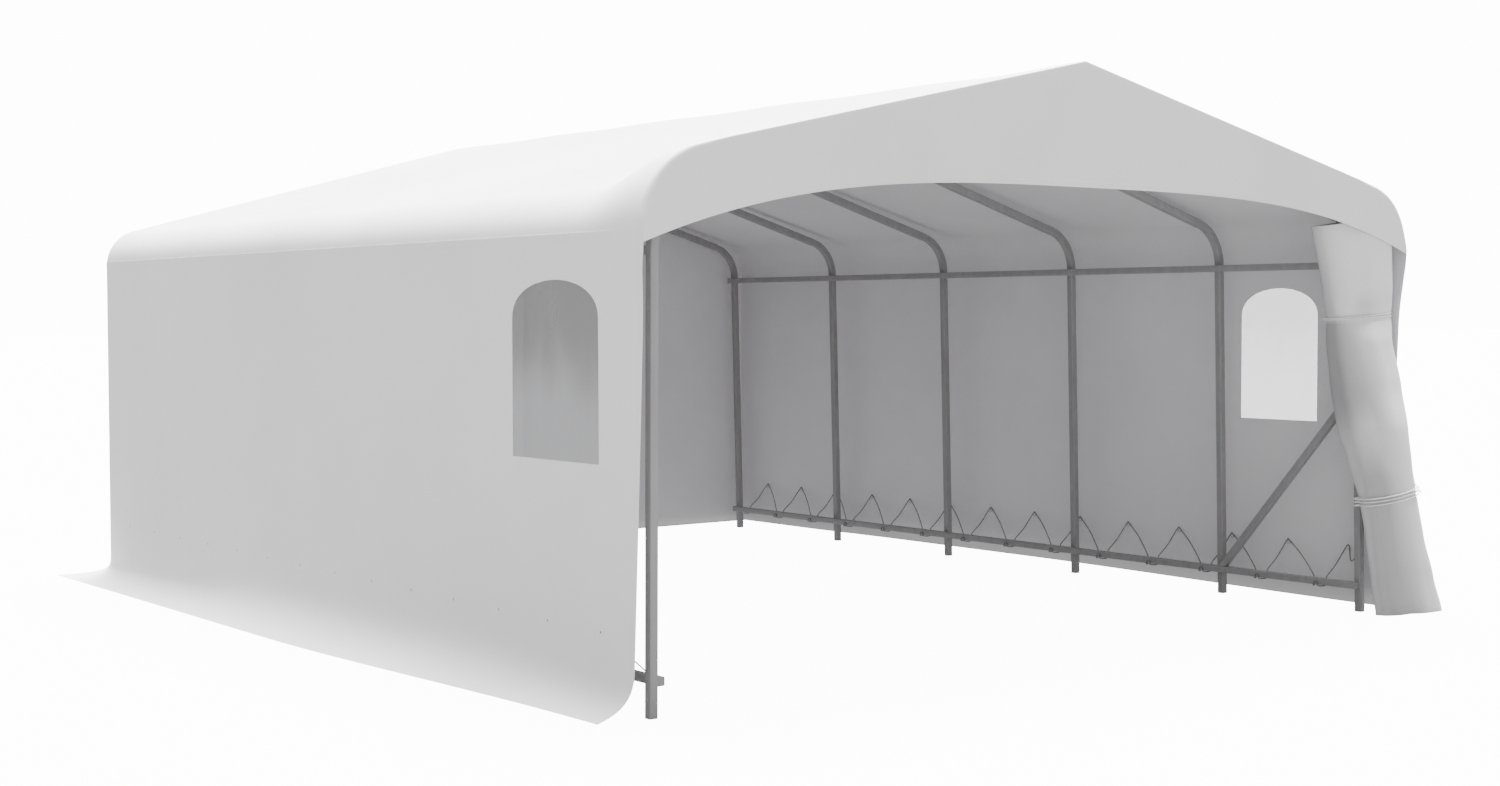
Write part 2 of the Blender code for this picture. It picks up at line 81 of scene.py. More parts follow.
def smooth_between(
    a: Sequence[float], b: Sequence[float], c: Sequence[float], d: Sequence[float], t: float
) -> tuple[float, ...]:
    """A place between the two middle ones of four points, on the smooth line through them."""
    return tuple(
        0.5 * (
            2 * q + (r - p) * t
            + (2 * p - 5 * q + 4 * r - s) * t**2
            + (3 * q - p - 3 * r + s) * t**3
        )
        for p, q, r, s in zip(a, b, c, d)
    )


def spline(points: Sequence[Sequence[float]], steps: int, closed: bool = False) -> list[tuple[float, ...]]:
    """Smooth line through points.

    Args:
        points: what the line passes through, of any number of values each.
        steps: pieces between two points.
        closed: whether the last point joins the first.

    Returns:
        The points of the smooth line.
    """
    count = len(points)
    made = []
    for i in range(count if closed else count - 1):
        if closed:
            a, b, c, d = (points[(i + k) % count] for k in (-1, 0, 1, 2))
        else:
            a, b, c, d = (points[min(max(i + k, 0), count - 1)] for k in (-1, 0, 1, 2))
        for step in range(steps):
            t = step / steps
            made.append(smooth_between(a, b, c, d, t))
    if not closed:
        made.append(tuple(points[-1]))
    return made


class Signal:
    """A shader value. Arithmetic on it adds Math nodes to its graph."""

    def __init__(self, graph: "Graph", socket: bpy.types.NodeSocket) -> None:
        """Wraps an output socket of the graph."""
        self.graph = graph
        self.socket = socket

    def math(self, operation: str, *others: "Signal | float", first: bool = True) -> "Signal":
        """Feeds this value and others to one Math node.

        Args:
            operation: the Math node's operation.
            others: the other values.
            first: whether this value comes before the others.

        Returns:
            The node's result.
        """
        order = [self, *others] if first else [*others, self]
        node = self.graph.node("ShaderNodeMath", {"operation": operation}, dict(enumerate(order)))
        return Signal(self.graph, node.outputs[0])

    def __add__(self, other: "Signal | float") -> "Signal":
        """Sum."""
        return self.math("ADD", other)

    __radd__ = __add__

    def __mul__(self, other: "Signal | float") -> "Signal":
        """Product."""
        return self.math("MULTIPLY", other)

    __rmul__ = __mul__

    def __sub__(self, other: "Signal | float") -> "Signal":
        """Difference."""
        return self.math("SUBTRACT", other)

    def __rsub__(self, other: float) -> "Signal":
        """Difference the other way round."""
        return self.math("SUBTRACT", other, first=False)

    def __truediv__(self, other: "Signal | float") -> "Signal":
        """Quotient."""
        return self.math("DIVIDE", other)

    def below(self, limit: float) -> "Signal":
        """One where the value is under the limit, else nought."""
        return self.math("LESS_THAN", limit)

    def size(self) -> "Signal":
        """The value without its sign."""
        return self.math("ABSOLUTE")

    def sine(self) -> "Signal":
        """Sine of the value."""
        return self.math("SINE")

    def spread(self, low: float, high: float) -> "Signal":
        """Maps nought to one on low to high, and clamps it."""
        node = self.graph.node("ShaderNodeMapRange", {"clamp": True}, {0: self, 3: low, 4: high})
        return Signal(self.graph, node.outputs[0])

    def soft_step(self, low: float, high: float) -> "Signal":
        """Nought under low, one over high, and a soft step between."""
        node = self.graph.node(
            "ShaderNodeMapRange",
            {"interpolation_type": "SMOOTHSTEP"},
            {0: self, 1: low, 2: high, 3: 0.0, 4: 1.0},
        )
        return Signal(self.graph, node.outputs[0])


class Graph:
    """One material's nodes."""

    def __init__(self, name: str) -> None:
        """Makes an empty material of that name."""
        self.material = bpy.data.materials.new(name)
        self.material.use_nodes = True
        self.tree = self.material.node_tree
        self.tree.nodes.clear()

    def node(self, kind: str, settings: dict | None = None, inputs: dict | None = None) -> bpy.types.Node:
        """Adds a node.

        Args:
            kind: its type.
            settings: its own settings, set before its sockets.
            inputs: values or links of its input sockets, by name or number.

        Returns:
            The new node.
        """
        made = self.tree.nodes.new(kind)
        for key, value in (settings or {}).items():
            setattr(made, key, value)
        for key, value in (inputs or {}).items():
            if isinstance(value, Signal):
                self.tree.links.new(value.socket, made.inputs[key])
            elif isinstance(value, bpy.types.NodeSocket):
                self.tree.links.new(value, made.inputs[key])
            else:
                made.inputs[key].default_value = value
        return made

    def place(self) -> bpy.types.NodeSocket:
        """Object coordinates, in metres."""
        return self.node("ShaderNodeTexCoord").outputs["Object"]

    def stretched(self, scale: Point) -> bpy.types.NodeSocket:
        """Object coordinates stretched along the axes."""
        node = self.node("ShaderNodeMapping", None, {"Vector": self.place(), "Scale": scale})
        return node.outputs["Vector"]

    def uv(self) -> tuple[Signal, Signal]:
        """The piece's own UV map, in metres, as two values."""
        source = self.node("ShaderNodeUVMap", {"uv_map": "metres"})
        split = self.node("ShaderNodeSeparateXYZ", None, {0: source.outputs[0]})
        return Signal(self, split.outputs[0]), Signal(self, split.outputs[1])

    def attribute(self, name: str) -> Signal:
        """A number stored on the piece's points."""
        node = self.node("ShaderNodeAttribute", {"attribute_name": name})
        return Signal(self, node.outputs["Fac"])

    def noise(
        self, at: bpy.types.NodeSocket, scale: float, detail: float = 3.0, roughness: float = 0.5
    ) -> Signal:
        """Soft noise from nought to one."""
        node = self.node(
            "ShaderNodeTexNoise",
            None,
            {"Vector": at, "Scale": scale, "Detail": detail, "Roughness": roughness},
        )
        return Signal(self, node.outputs[0])

    def blend(self, share: Signal, low: Point, high: Point) -> bpy.types.NodeSocket:
        """A colour between two, by share."""
        node = self.node("ShaderNodeMix", {"data_type": "RGBA"}, {0: share, 6: (*low, 1.0), 7: (*high, 1.0)})
        return node.outputs[2]

    def relief(
        self, height: Signal, depth: float, strength: float = 1.0, under: object = None
    ) -> bpy.types.NodeSocket:
        """A bump.

        Args:
            height: from nought to one.
            depth: how deep one is, in metres.
            strength: share of the bump that shows.
            under: another bump's normal that this one lies on.

        Returns:
            The normal.
        """
        inputs = {"Height": height, "Distance": depth, "Strength": strength}
        if under is not None:
            inputs["Normal"] = under
        return self.node("ShaderNodeBump", None, inputs).outputs[0]

    def finish(self, inputs: dict) -> bpy.types.Material:
        """Closes the graph with a Principled shader of these inputs."""
        shader = self.node("ShaderNodeBsdfPrincipled", None, inputs)
        self.node("ShaderNodeOutputMaterial", None, {"Surface": shader.outputs[0]})
        return self.material


@dataclass(frozen=True)
class CoverCloth:
    """Coated white cover cloth: faint clouds, a fine weave, stitched hems, and painted shade where a piece
    stores it on its points.
    """

    name: str = "cover_cloth"
    light: Point = (0.735, 0.722, 0.740)
    dark: Point = (0.680, 0.670, 0.688)
    # grey that the painted shade darkens the cloth towards
    painted_shade: tuple[float, float, float, float] = (0.300, 0.296, 0.304, 1.0)
    weave: float = 0.0028
    hem_width: float = 0.026
    stitch: float = 0.009

    def build(self) -> bpy.types.Material:
        """Builds the material."""
        g = Graph(self.name)
        place = g.place()
        u, v = g.uv()
        clouds = g.noise(place, 0.55, 2.0) * 0.65 + g.noise(place, 2.6, 3.0) * 0.35
        colour = g.blend(clouds.soft_step(0.32, 0.68), self.dark, self.light)
        # painted shade: the cloth's colour is mixed towards a grey where the points store shade
        painted_shade_colour = g.node(
            "ShaderNodeMix", {"data_type": "RGBA"}, {0: g.attribute("painted_shade"), 6: colour, 7: self.painted_shade}
        )
        turn = 2 * math.pi / self.weave
        threads = (u * turn).sine() * (v * turn).sine() * 0.5 + 0.5
        creases = g.noise(g.stretched((1.0, 0.7, 0.45)), 1.7, 2.5)
        edge = g.attribute("edge_distance")
        fold = 1 - edge.soft_step(self.hem_width - 0.0015, self.hem_width + 0.0015)
        dashes = ((u + v) * (2 * math.pi / self.stitch)).sine().soft_step(-0.4, 0.2)
        stitches = (edge - self.hem_width * 0.8).size().below(0.0011) * dashes
        normal = g.relief(creases, 0.02, 0.25)
        normal = g.relief(threads, 0.00018, 0.35, normal)
        normal = g.relief(fold - stitches * 0.8, 0.0011, 0.8, normal)
        return g.finish({
            "Base Color": painted_shade_colour.outputs[2],
            "Roughness": clouds.spread(0.46, 0.58),
            "Normal": normal,
            "Specular IOR Level": 0.35,
        })


@dataclass(frozen=True)
class WindowFilm:
    """Milky clear film with a few upright creases, and a painted reflection of the floor that lightens it
    towards the bottom.
    """

    name: str = "window_film"
    light: Point = (0.385, 0.390, 0.400)
    dark: Point = (0.212, 0.212, 0.215)

    def build(self) -> bpy.types.Material:
        """Builds the material."""
        g = Graph(self.name)
        waves = g.noise(g.stretched((1.0, 1.0, 0.32)), 5.5, 2.0)
        clouds = g.noise(g.place(), 2.2, 2.0)
        height = Signal(g, g.node("ShaderNodeSeparateXYZ", None, {0: g.place()}).outputs[2])
        # the height term is a painted reflection of the bright floor, lighter towards the bottom; the waves
        # and clouds are the film's own uneven tone
        mix = waves * 0.3 + clouds * 0.25 + (1 - height.soft_step(1.15, 1.8)) * 0.45
        return g.finish({
            "Base Color": g.blend(mix.soft_step(0.28, 0.72), self.dark, self.light),
            "Roughness": clouds.spread(0.16, 0.3),
            "Alpha": mix.spread(0.67, 0.63),
            "Normal": g.relief(waves, 0.012, 0.5),
            "Specular IOR Level": 0.4,
        })


@dataclass(frozen=True)
class TubeSteel:
    """Grey galvanised and lightly weathered steel tube."""

    name: str = "frame_tube"
    light: Point = (0.298, 0.293, 0.298)
    dark: Point = (0.262, 0.258, 0.262)

    def build(self) -> bpy.types.Material:
        """Builds the material."""
        g = Graph(self.name)
        place = g.place()
        spangle = g.noise(place, 130.0, 2.0, 0.6)
        streaks = g.noise(g.stretched((9.0, 9.0, 1.1)), 3.0, 3.0)
        mix = spangle * 0.4 + streaks * 0.6
        return g.finish({
            "Base Color": g.blend(mix.soft_step(0.36, 0.66), self.dark, self.light),
            "Roughness": mix.spread(0.4, 0.62),
            "Metallic": 0.1,
            "Normal": g.relief(spangle, 0.0006, 0.3),
        })


@dataclass(frozen=True)
class TwistedCord:
    """Laid cord whose strands wind round it, with painted shade in the grooves between the strands."""

    name: str
    light: Point
    dark: Point
    lay: float = 0.011
    round_length: float = 0.019

    def build(self) -> bpy.types.Material:
        """Builds the material."""
        g = Graph(self.name)
        u, v = g.uv()
        strands = ((v / self.lay + u * (2 / self.round_length)) * (2 * math.pi)).sine() * 0.5 + 0.5
        fibres = g.noise(g.place(), 900.0, 2.0)
        mix = strands * 0.75 + fibres * 0.25
        return g.finish({
            # painted shade: the colour follows the strands' bump, dark in the grooves between them
            "Base Color": g.blend(mix, self.dark, self.light),
            "Roughness": fibres.spread(0.65, 0.85),
            "Normal": g.relief(mix, 0.0009, 0.8),
        })


@dataclass(frozen=True)
class ZincWire:
    """Bright zinc of the small hooks and studs."""

    name: str = "zinc"
    light: Point = (0.50, 0.50, 0.51)
    dark: Point = (0.34, 0.34, 0.35)

    def build(self) -> bpy.types.Material:
        """Builds the material."""
        g = Graph(self.name)
        specks = g.noise(g.place(), 320.0, 3.0)
        return g.finish({
            "Base Color": g.blend(specks.soft_step(0.3, 0.7), self.dark, self.light),
            "Roughness": specks.spread(0.3, 0.5),
            "Metallic": 0.6,
            "Normal": g.relief(specks, 0.0002, 0.4),
        })


class Bench:
    """Modelling steps with Blender's operators. Each starts with nothing selected."""

    @staticmethod
    def clear() -> None:
        """Leaves edit mode and selects nothing."""
        if bpy.context.object and bpy.context.object.mode != "OBJECT":
            bpy.ops.object.mode_set(mode="OBJECT")
        bpy.ops.object.select_all(action="DESELECT")

    @staticmethod
    def pick(piece: bpy.types.Object) -> None:
        """Selects one piece and makes it active."""
        Bench.clear()
        piece.select_set(True)
        bpy.context.view_layer.objects.active = piece

    @staticmethod
    def rounded_section(size: float, corner: float, at: Point, turn: Point) -> bpy.types.Object:
        """Starts a square tube: a flat section with round corners, left in edit mode, all selected.

        Args:
            size: width of the tube.
            corner: radius of its corners.
            at: the section's middle.
            turn: the section's rotation.

        Returns:
            The object.
        """
        Bench.clear()
        bpy.ops.mesh.primitive_plane_add(size=size, location=at, rotation=turn)
        piece = bpy.context.object
        bpy.ops.object.mode_set(mode="EDIT")
        bpy.ops.mesh.bevel(offset=corner, segments=3, affect="VERTICES")
        bpy.ops.mesh.select_all(action="SELECT")
        return piece

    @staticmethod
    def pull(by: Vector) -> None:
        """Extrudes the selected face along a vector."""
        bpy.ops.mesh.extrude_region_move(TRANSFORM_OT_translate={"value": tuple(by)})

    @staticmethod
    def settle(piece: bpy.types.Object, name: str, angle: float = 35.0) -> bpy.types.Object:
        """Ends a piece: normals outwards, smooth shading, place moved into its mesh."""
        if bpy.context.object.mode != "EDIT":
            bpy.ops.object.mode_set(mode="EDIT")
        bpy.ops.mesh.select_all(action="SELECT")
        bpy.ops.mesh.remove_doubles(threshold=0.00005)
        bpy.ops.mesh.normals_make_consistent(inside=False)
        Bench.pick(piece)
        bpy.ops.object.transform_apply(location=True, rotation=True, scale=True)
        bpy.ops.object.shade_smooth_by_angle(angle=math.radians(angle))
        piece.name = piece.data.name = name
        return piece

    @staticmethod
    def face_outwards(piece: bpy.types.Object, weld: float = 0.0) -> None:
        """Joins points closer than weld, if given, and turns a piece's faces outwards."""
        Bench.pick(piece)
        bpy.ops.object.mode_set(mode="EDIT")
        bpy.ops.mesh.select_all(action="SELECT")
        if weld:
            bpy.ops.mesh.remove_doubles(threshold=weld)
        bpy.ops.mesh.normals_make_consistent(inside=False)
        bpy.ops.object.mode_set(mode="OBJECT")

    @staticmethod
    def modifier(piece: bpy.types.Object, kind: str, **settings: object) -> None:
        """Adds a modifier, sets it and applies it."""
        Bench.pick(piece)
        made = piece.modifiers.new(kind.lower(), kind)
        for key, value in settings.items():
            setattr(made, key, value)
        bpy.ops.object.modifier_apply(modifier=made.name)

    @staticmethod
    def copy(piece: bpy.types.Object, name: str, matrix: Matrix) -> bpy.types.Object:
        """A copy with its own mesh, moved by a matrix that is put into the mesh."""
        made = piece.copy()
        made.data = piece.data.copy()
        made.name = made.data.name = name
        made.data.transform(matrix)
        if matrix.determinant() < 0:
            made.data.flip_normals()
        bpy.context.collection.objects.link(made)
        return made


class Dresser:
    """Gives finished pieces their material and their place on the frame."""

    def __init__(self) -> None:
        """Builds every finish once."""
        self.cloth = CoverCloth().build()
        self.film = WindowFilm().build()
        self.steel = TubeSteel().build()
        # each cord's dark colour is painted shade in the grooves between its strands
        self.lacing = TwistedCord("lacing_cord", (0.22, 0.217, 0.214), (0.10, 0.098, 0.097)).build()
        self.tie = TwistedCord("tie_cord", (0.82, 0.81, 0.82), (0.60, 0.595, 0.60), 0.014, 0.022).build()
        self.zinc = ZincWire().build()

    def dress(
        self, piece: bpy.types.Object, material: bpy.types.Material, slot: str, stands_for: Iterable[str] = ()
    ) -> bpy.types.Object:
        """Dresses one piece.

        Args:
            piece: the finished piece.
            material: its finish.
            slot: not used.
            stands_for: frame nodes that it replaces.

        Returns:
            The piece.
        """
        piece.data.materials.clear()
        piece.data.materials.append(material)
        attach(piece, "root")
        nodes = list(stands_for)
        if nodes:
            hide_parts(*nodes)
        log.info("%s: %d faces", piece.name, len(piece.data.polygons))
        return piece


@dataclass(frozen=True)
class TubeFrame:
    """Six arches of square tube with their rails, purlins and a corner brace."""

    dresser: Dresser
    foot_half: float = 2.472
    shoulder_half: tuple[float, float] = (2.458, 2.420)
    front_bay: float = 0.988
    bay: float = 1.2192
    leg: float = 0.042
    rafter: float = 0.046
    rail: float = 0.040
    corner: float = 0.0045
    bend: float = 0.260
    fall: float = 0.292
    ridge_z: float = 2.900
    rail_z: float = 0.154
    purlin_z: float = 1.983
    purlin_shift: tuple[float, float] = (0.0012, 0.0005)
    overrun: float = 0.012
    left_purlin_y: float = 0.070
    brace_foot_y: float = 0.945
    brace_head_z: float = 1.262
    gap: float = 0.0003

    @property
    def arch_y(self) -> list[float]:
        """Where the arches stand, from the front one."""
        return [0.0] + [self.front_bay + self.bay * i for i in range(5)]

    @property
    def slope(self) -> float:
        """The rafters' angle."""
        return math.atan(self.fall)

    @property
    def turn(self) -> float:
        """How far a leg bends over."""
        return math.pi / 2 - self.slope

    def shoulder_x(self, side: Side) -> float:
        """Half width to a leg's middle where it starts to bend."""
        return self.shoulder_half[side is Side.RIGHT]

    def bend_start_z(self, side: Side) -> float:
        """Where a leg starts to bend."""
        return self.ridge_z - self.fall * self.shoulder_x(side) - self.bend * math.tan(self.turn / 2)

    def leg_x(self, side: Side, z: float) -> float:
        """Half width to a leg's middle at a height."""
        return self.foot_half + (self.shoulder_x(side) - self.foot_half) * z / self.bend_start_z(side)

    def inner_x(self, side: Side, z: float) -> float:
        """Half width to the middle of a rail on the legs' inner sides."""
        return self.leg_x(side, z) - (self.leg + self.rail) / 2 - self.gap

    def bottom_rail_x(self, side: Side) -> float:
        """Half width to the middle of a bottom rail."""
        return self.inner_x(side, self.rail_z + self.rail / 2)

    def build_leg(self, side: Side) -> bpy.types.Object:
        """A leg with that side's lean, laid out as a right one of the front arch."""
        shoulder, start_z = self.shoulder_x(side), self.bend_start_z(side)
        piece = Bench.rounded_section(self.leg, self.corner, (self.foot_half, 0, 0), (0, 0, 0))
        Bench.pull(Vector((shoulder - self.foot_half, 0, start_z)))
        bpy.ops.mesh.spin(
            steps=18, angle=self.turn, center=(shoulder - self.bend, 0, start_z), axis=(0, 1, 0)
        )
        return Bench.settle(piece, "leg")

    def build_rafter(self, side: Side) -> bpy.types.Object:
        """A rafter laid out as a right one of the front arch: it runs from the bend's end to the ridge."""
        start = Vector((
            self.shoulder_x(side) - self.bend * (1 - math.cos(self.turn)),
            0,
            self.bend_start_z(side) + self.bend * math.sin(self.turn),
        ))
        along = Vector((-math.cos(self.slope), 0, math.sin(self.slope)))
        piece = Bench.rounded_section(
            self.rafter, self.corner, tuple(start + along * self.gap), (0, self.slope - math.pi / 2, 0)
        )
        Bench.pull(along * 0.010)
        Bench.pull(along * (self.foot_half + self.leg))
        bpy.ops.mesh.select_all(action="SELECT")
        bpy.ops.mesh.bisect(
            plane_co=(self.gap / 2, 0, 0), plane_no=(-1, 0, 0), use_fill=True, clear_outer=True
        )
        return Bench.settle(piece, "rafter")

    def build_rail(self, name: str, x: float, z: float, start: float | None = None) -> bpy.types.Object:
        """A straight tube from front to back, its ends closed with slightly rounded plugs.

        Args:
            name: the piece's name.
            x: across the shelter.
            z: height of its middle.
            start: its front end, if that isn't just before the front arch.

        Returns:
            The piece.
        """
        start = -self.overrun if start is None else start
        piece = Bench.rounded_section(
            self.rail, self.corner, (x, FOOT_LINE + start, z), (math.radians(90), 0, 0)
        )
        Bench.pull(Vector((0, self.arch_y[-1] + self.overrun - start, 0)))
        Bench.settle(piece, name)
        self.soften_ends(piece)
        return piece

    def soften_ends(self, piece: bpy.types.Object) -> None:
        """Rounds the edges of a rail's two end faces."""
        Bench.pick(piece)
        bpy.ops.object.mode_set(mode="EDIT")
        bpy.ops.mesh.select_all(action="DESELECT")
        mesh = bmesh.from_edit_mesh(piece.data)
        for face in mesh.faces:
            if abs(face.normal.y) > 0.9:
                for edge in face.edges:
                    edge.select = True
        bmesh.update_edit_mesh(piece.data)
        bpy.ops.mesh.bevel(offset=0.0015, segments=2, affect="EDGES")
        bpy.ops.object.mode_set(mode="OBJECT")
        bpy.ops.object.shade_smooth_by_angle(angle=math.radians(35))

    def build_brace(self, side: Side) -> bpy.types.Object:
        """A diagonal tube from the bottom rail up to the front leg, cut to fit at both ends."""
        foot_z = self.rail_z + self.rail / 2 + self.gap
        foot = Vector((0, self.brace_foot_y, foot_z))
        along = (Vector((0, 0, self.brace_head_z)) - foot).normalized()
        start = foot - along * self.rail
        tilt = math.atan2(along.y, along.z)
        piece = Bench.rounded_section(self.rail, self.corner, tuple(start), (-tilt, 0, 0))
        Bench.pull(along * (self.brace_head_z * 1.4))
        for point, normal in ((foot, (0, 0, -1)), (Vector((0, -self.leg / 2, 0)), (0, -1, 0))):
            bpy.ops.mesh.select_all(action="SELECT")
            bpy.ops.mesh.bisect(plane_co=tuple(point), plane_no=normal, use_fill=True, clear_outer=True)
        Bench.settle(piece, f"brace_{side.word}")
        for vert in piece.data.vertices:
            vert.co.x += side.value * self.inner_x(side, vert.co.z)
            vert.co.y += FOOT_LINE
        return piece

    def dress(self, piece: bpy.types.Object, *nodes: str) -> None:
        """Gives a tube its steel finish in place of its node."""
        self.dresser.dress(piece, self.dresser.steel, "frame_tube", nodes)

    def build(self) -> None:
        """Builds and dresses the whole frame."""
        for side in Side:
            word, way = side.word, side.value
            for part, model in (("leg", self.build_leg(side)), ("rafter", self.build_rafter(side))):
                for number, y in enumerate(self.arch_y, 1):
                    place = Matrix.Translation((0, FOOT_LINE + y, 0)) @ Matrix.Diagonal((way, 1, 1, 1))
                    made = Bench.copy(model, f"tube_{number}_{word}_{part}", place)
                    self.dress(made, f"arch_{number}_{word}_{part}")
                bpy.data.objects.remove(model)
            rail = self.build_rail(f"rail_{word}", way * self.bottom_rail_x(side), self.rail_z)
            self.dress(rail, f"bottom_rail_{word}")
            purlin_x = self.inner_x(side, self.purlin_z + self.rail / 2)
            purlin_x -= self.purlin_shift[side is Side.RIGHT]
            start = self.left_purlin_y if side is Side.LEFT else None
            purlin = self.build_rail(f"purlin_{word}", way * purlin_x, self.purlin_z, start)
            self.dress(purlin, f"side_purlin_{word}")
        self.dress(self.build_brace(Side.RIGHT), "corner_brace")
        low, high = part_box("ridge_purlin")
        self.dress(self.build_rail("ridge_tube", 0.0, (low.z + high.z) / 2), "ridge_purlin")


@dataclass(frozen=True)
class CoverShape:
    """Sizes and outlines of the cover, shared by its sheets."""

    cloth: float = 0.0020
    cad_cloth: float = 0.005
    wall_half: float = 2.610
    split_z: float = 2.060
    rear_y: float = 6.020
    front_y: float = -0.165
    gable_y: float = -0.160
    skirt_z: float = 0.300
    skirt_front: float = 0.125
    skirt_reach: float = 0.265
    skirt_full_y: float = 3.0
    powers: tuple[float, float, float, float] = (6.0, 3.5, 12.0, 5.0)
    brow_length: float = 0.55
    body: tuple[float, float] = (0.272, 0.245)
    front: tuple[float, float] = (0.220, 0.360)
    brow_rise: float = 0.0105
    bulge: tuple[float, float] = (0.012, 0.045)
    brow_low_z: float = 1.660
    ridge_z: float = 2.92940
    crown_z: float = 2.325
    drops: tuple[float, float] = (0.317, 0.265)
    drop_powers: tuple[float, float] = (3.1, 3.4)
    lean: float = 0.095
    fold_min: float = 0.006
    fold_max: float = 0.024
    fold_start_z: float = 1.88
    fold_full_z: float = 2.06
    fold_end_z: float = 2.39
    corner_cut: float = 0.085
    corner_z: float = 0.2
    fold_steps: int = 6

    def fold(self, z: float) -> float:
        """Radius of the soft edge along the front: full on the shoulders, crisp on the slopes and walls."""
        shoulder = ease((z - self.fold_full_z) / 0.10) * (1 - ease((z - self.fold_end_z) / 0.08))
        radius = self.fold_min + (self.fold_max - self.fold_min) * shoulder
        return radius * ease((z - self.fold_start_z) / 0.10)

    def brow(self, y: float) -> float:
        """How much of the front edge's fuller shape the cover has at y."""
        return ease((self.gable_y + self.brow_length - y) / self.brow_length)

    def half_width(self, side: Side, y: float, z: float) -> float:
        """Half width to the cover's outer face above the skirt."""
        swell = self.bulge[side is Side.RIGHT] * self.brow(y)
        return self.wall_half + swell * ease((z - self.brow_low_z) / (self.split_z - self.brow_low_z))

    def roof(self, side: Side, y: float, inset: float, arc: int, pieces: int) -> list[tuple[float, float]]:
        """Half of the outline at y, from the ridge to the split line.

        Args:
            side: which half.
            y: place along the shelter.
            inset: how far the outline is drawn in.
            arc: pieces of the round eaves.
            pieces: pieces of the straight slope.

        Returns:
            The outline's (x, z) points.
        """
        brow = self.brow(y)
        fall = self.body[0] + (self.front[0] - self.body[0]) * brow
        radius = self.body[1] + (self.front[1] - self.body[1]) * brow
        slope = math.atan(fall)
        half = self.half_width(side, y, self.split_z) - inset
        top = self.ridge_z + self.brow_rise * brow - inset / math.cos(slope)
        bend = radius - inset
        turn = math.pi / 2 - slope
        spring = top - fall * half - bend * math.tan(turn / 2)
        eaves = []
        for step in range(arc + 1):
            angle = turn * (1 - step / arc)
            eaves.append((half - bend * (1 - math.cos(angle)), spring + bend * math.sin(angle)))
        x1, z1 = eaves[0]
        points = [(x1 * i / pieces, top + (z1 - top) * i / pieces) for i in range(pieces)]
        points += eaves + [(half, self.split_z)]
        return [(side.value * x, z) for x, z in points]

    def outline(self, y: float, inset: float, arc: int = 14, pieces: int = 14) -> list[tuple[float, float]]:
        """The outline at y from the left split line over the ridge to the right one."""
        left = self.roof(Side.LEFT, y, inset, arc, pieces)
        right = self.roof(Side.RIGHT, y, inset, arc, pieces)
        return left[:0:-1] + right

    def skirt(self, reach: float, power: float, z: float, lift: float) -> tuple[float, float]:
        """The skirt's profile as distance out and height, lifted off its inner face."""
        up = max(0.0, 1 - z / self.skirt_z)
        slope = reach * power * up ** (power - 1) / self.skirt_z
        across = lift / math.hypot(1, slope)
        return reach * up**power + across, z + slope * across

    def side_skirt(self, y: float) -> tuple[float, float]:
        """Reach and sharpness of the side skirt at y."""
        first, middle, corner, _ = self.powers
        reach = self.skirt_front + (self.skirt_reach - self.skirt_front) * ease(y / self.skirt_full_y)
        power = middle + (first - middle) * ease((1.1 - y) / 1.2)
        return reach, power + (corner - middle) * ease((y - 3.6) / 1.8)

    def front_edge(self, z: float) -> float:
        """Front edge of a side wall at a height."""
        corner = self.corner_cut * max(0.0, 1 - z / self.corner_z) ** 1.5
        return self.gable_y + self.lean * (1 - min(z, self.split_z) / self.split_z) ** 1.2 + corner

    def valance(self, x: float) -> float:
        """Lower edge of the front gable."""
        right = x > 0
        return self.crown_z - self.drops[right] * (abs(x) / self.wall_half) ** self.drop_powers[right]

    def sag(self, y: float, arches: Sequence[float]) -> float:
        """Nought at an arch and one midway between two."""
        for low, high in zip(arches, arches[1:]):
            if low <= y <= high:
                return math.sin(math.pi * (y - low) / (high - low)) ** 2
        return 0.0


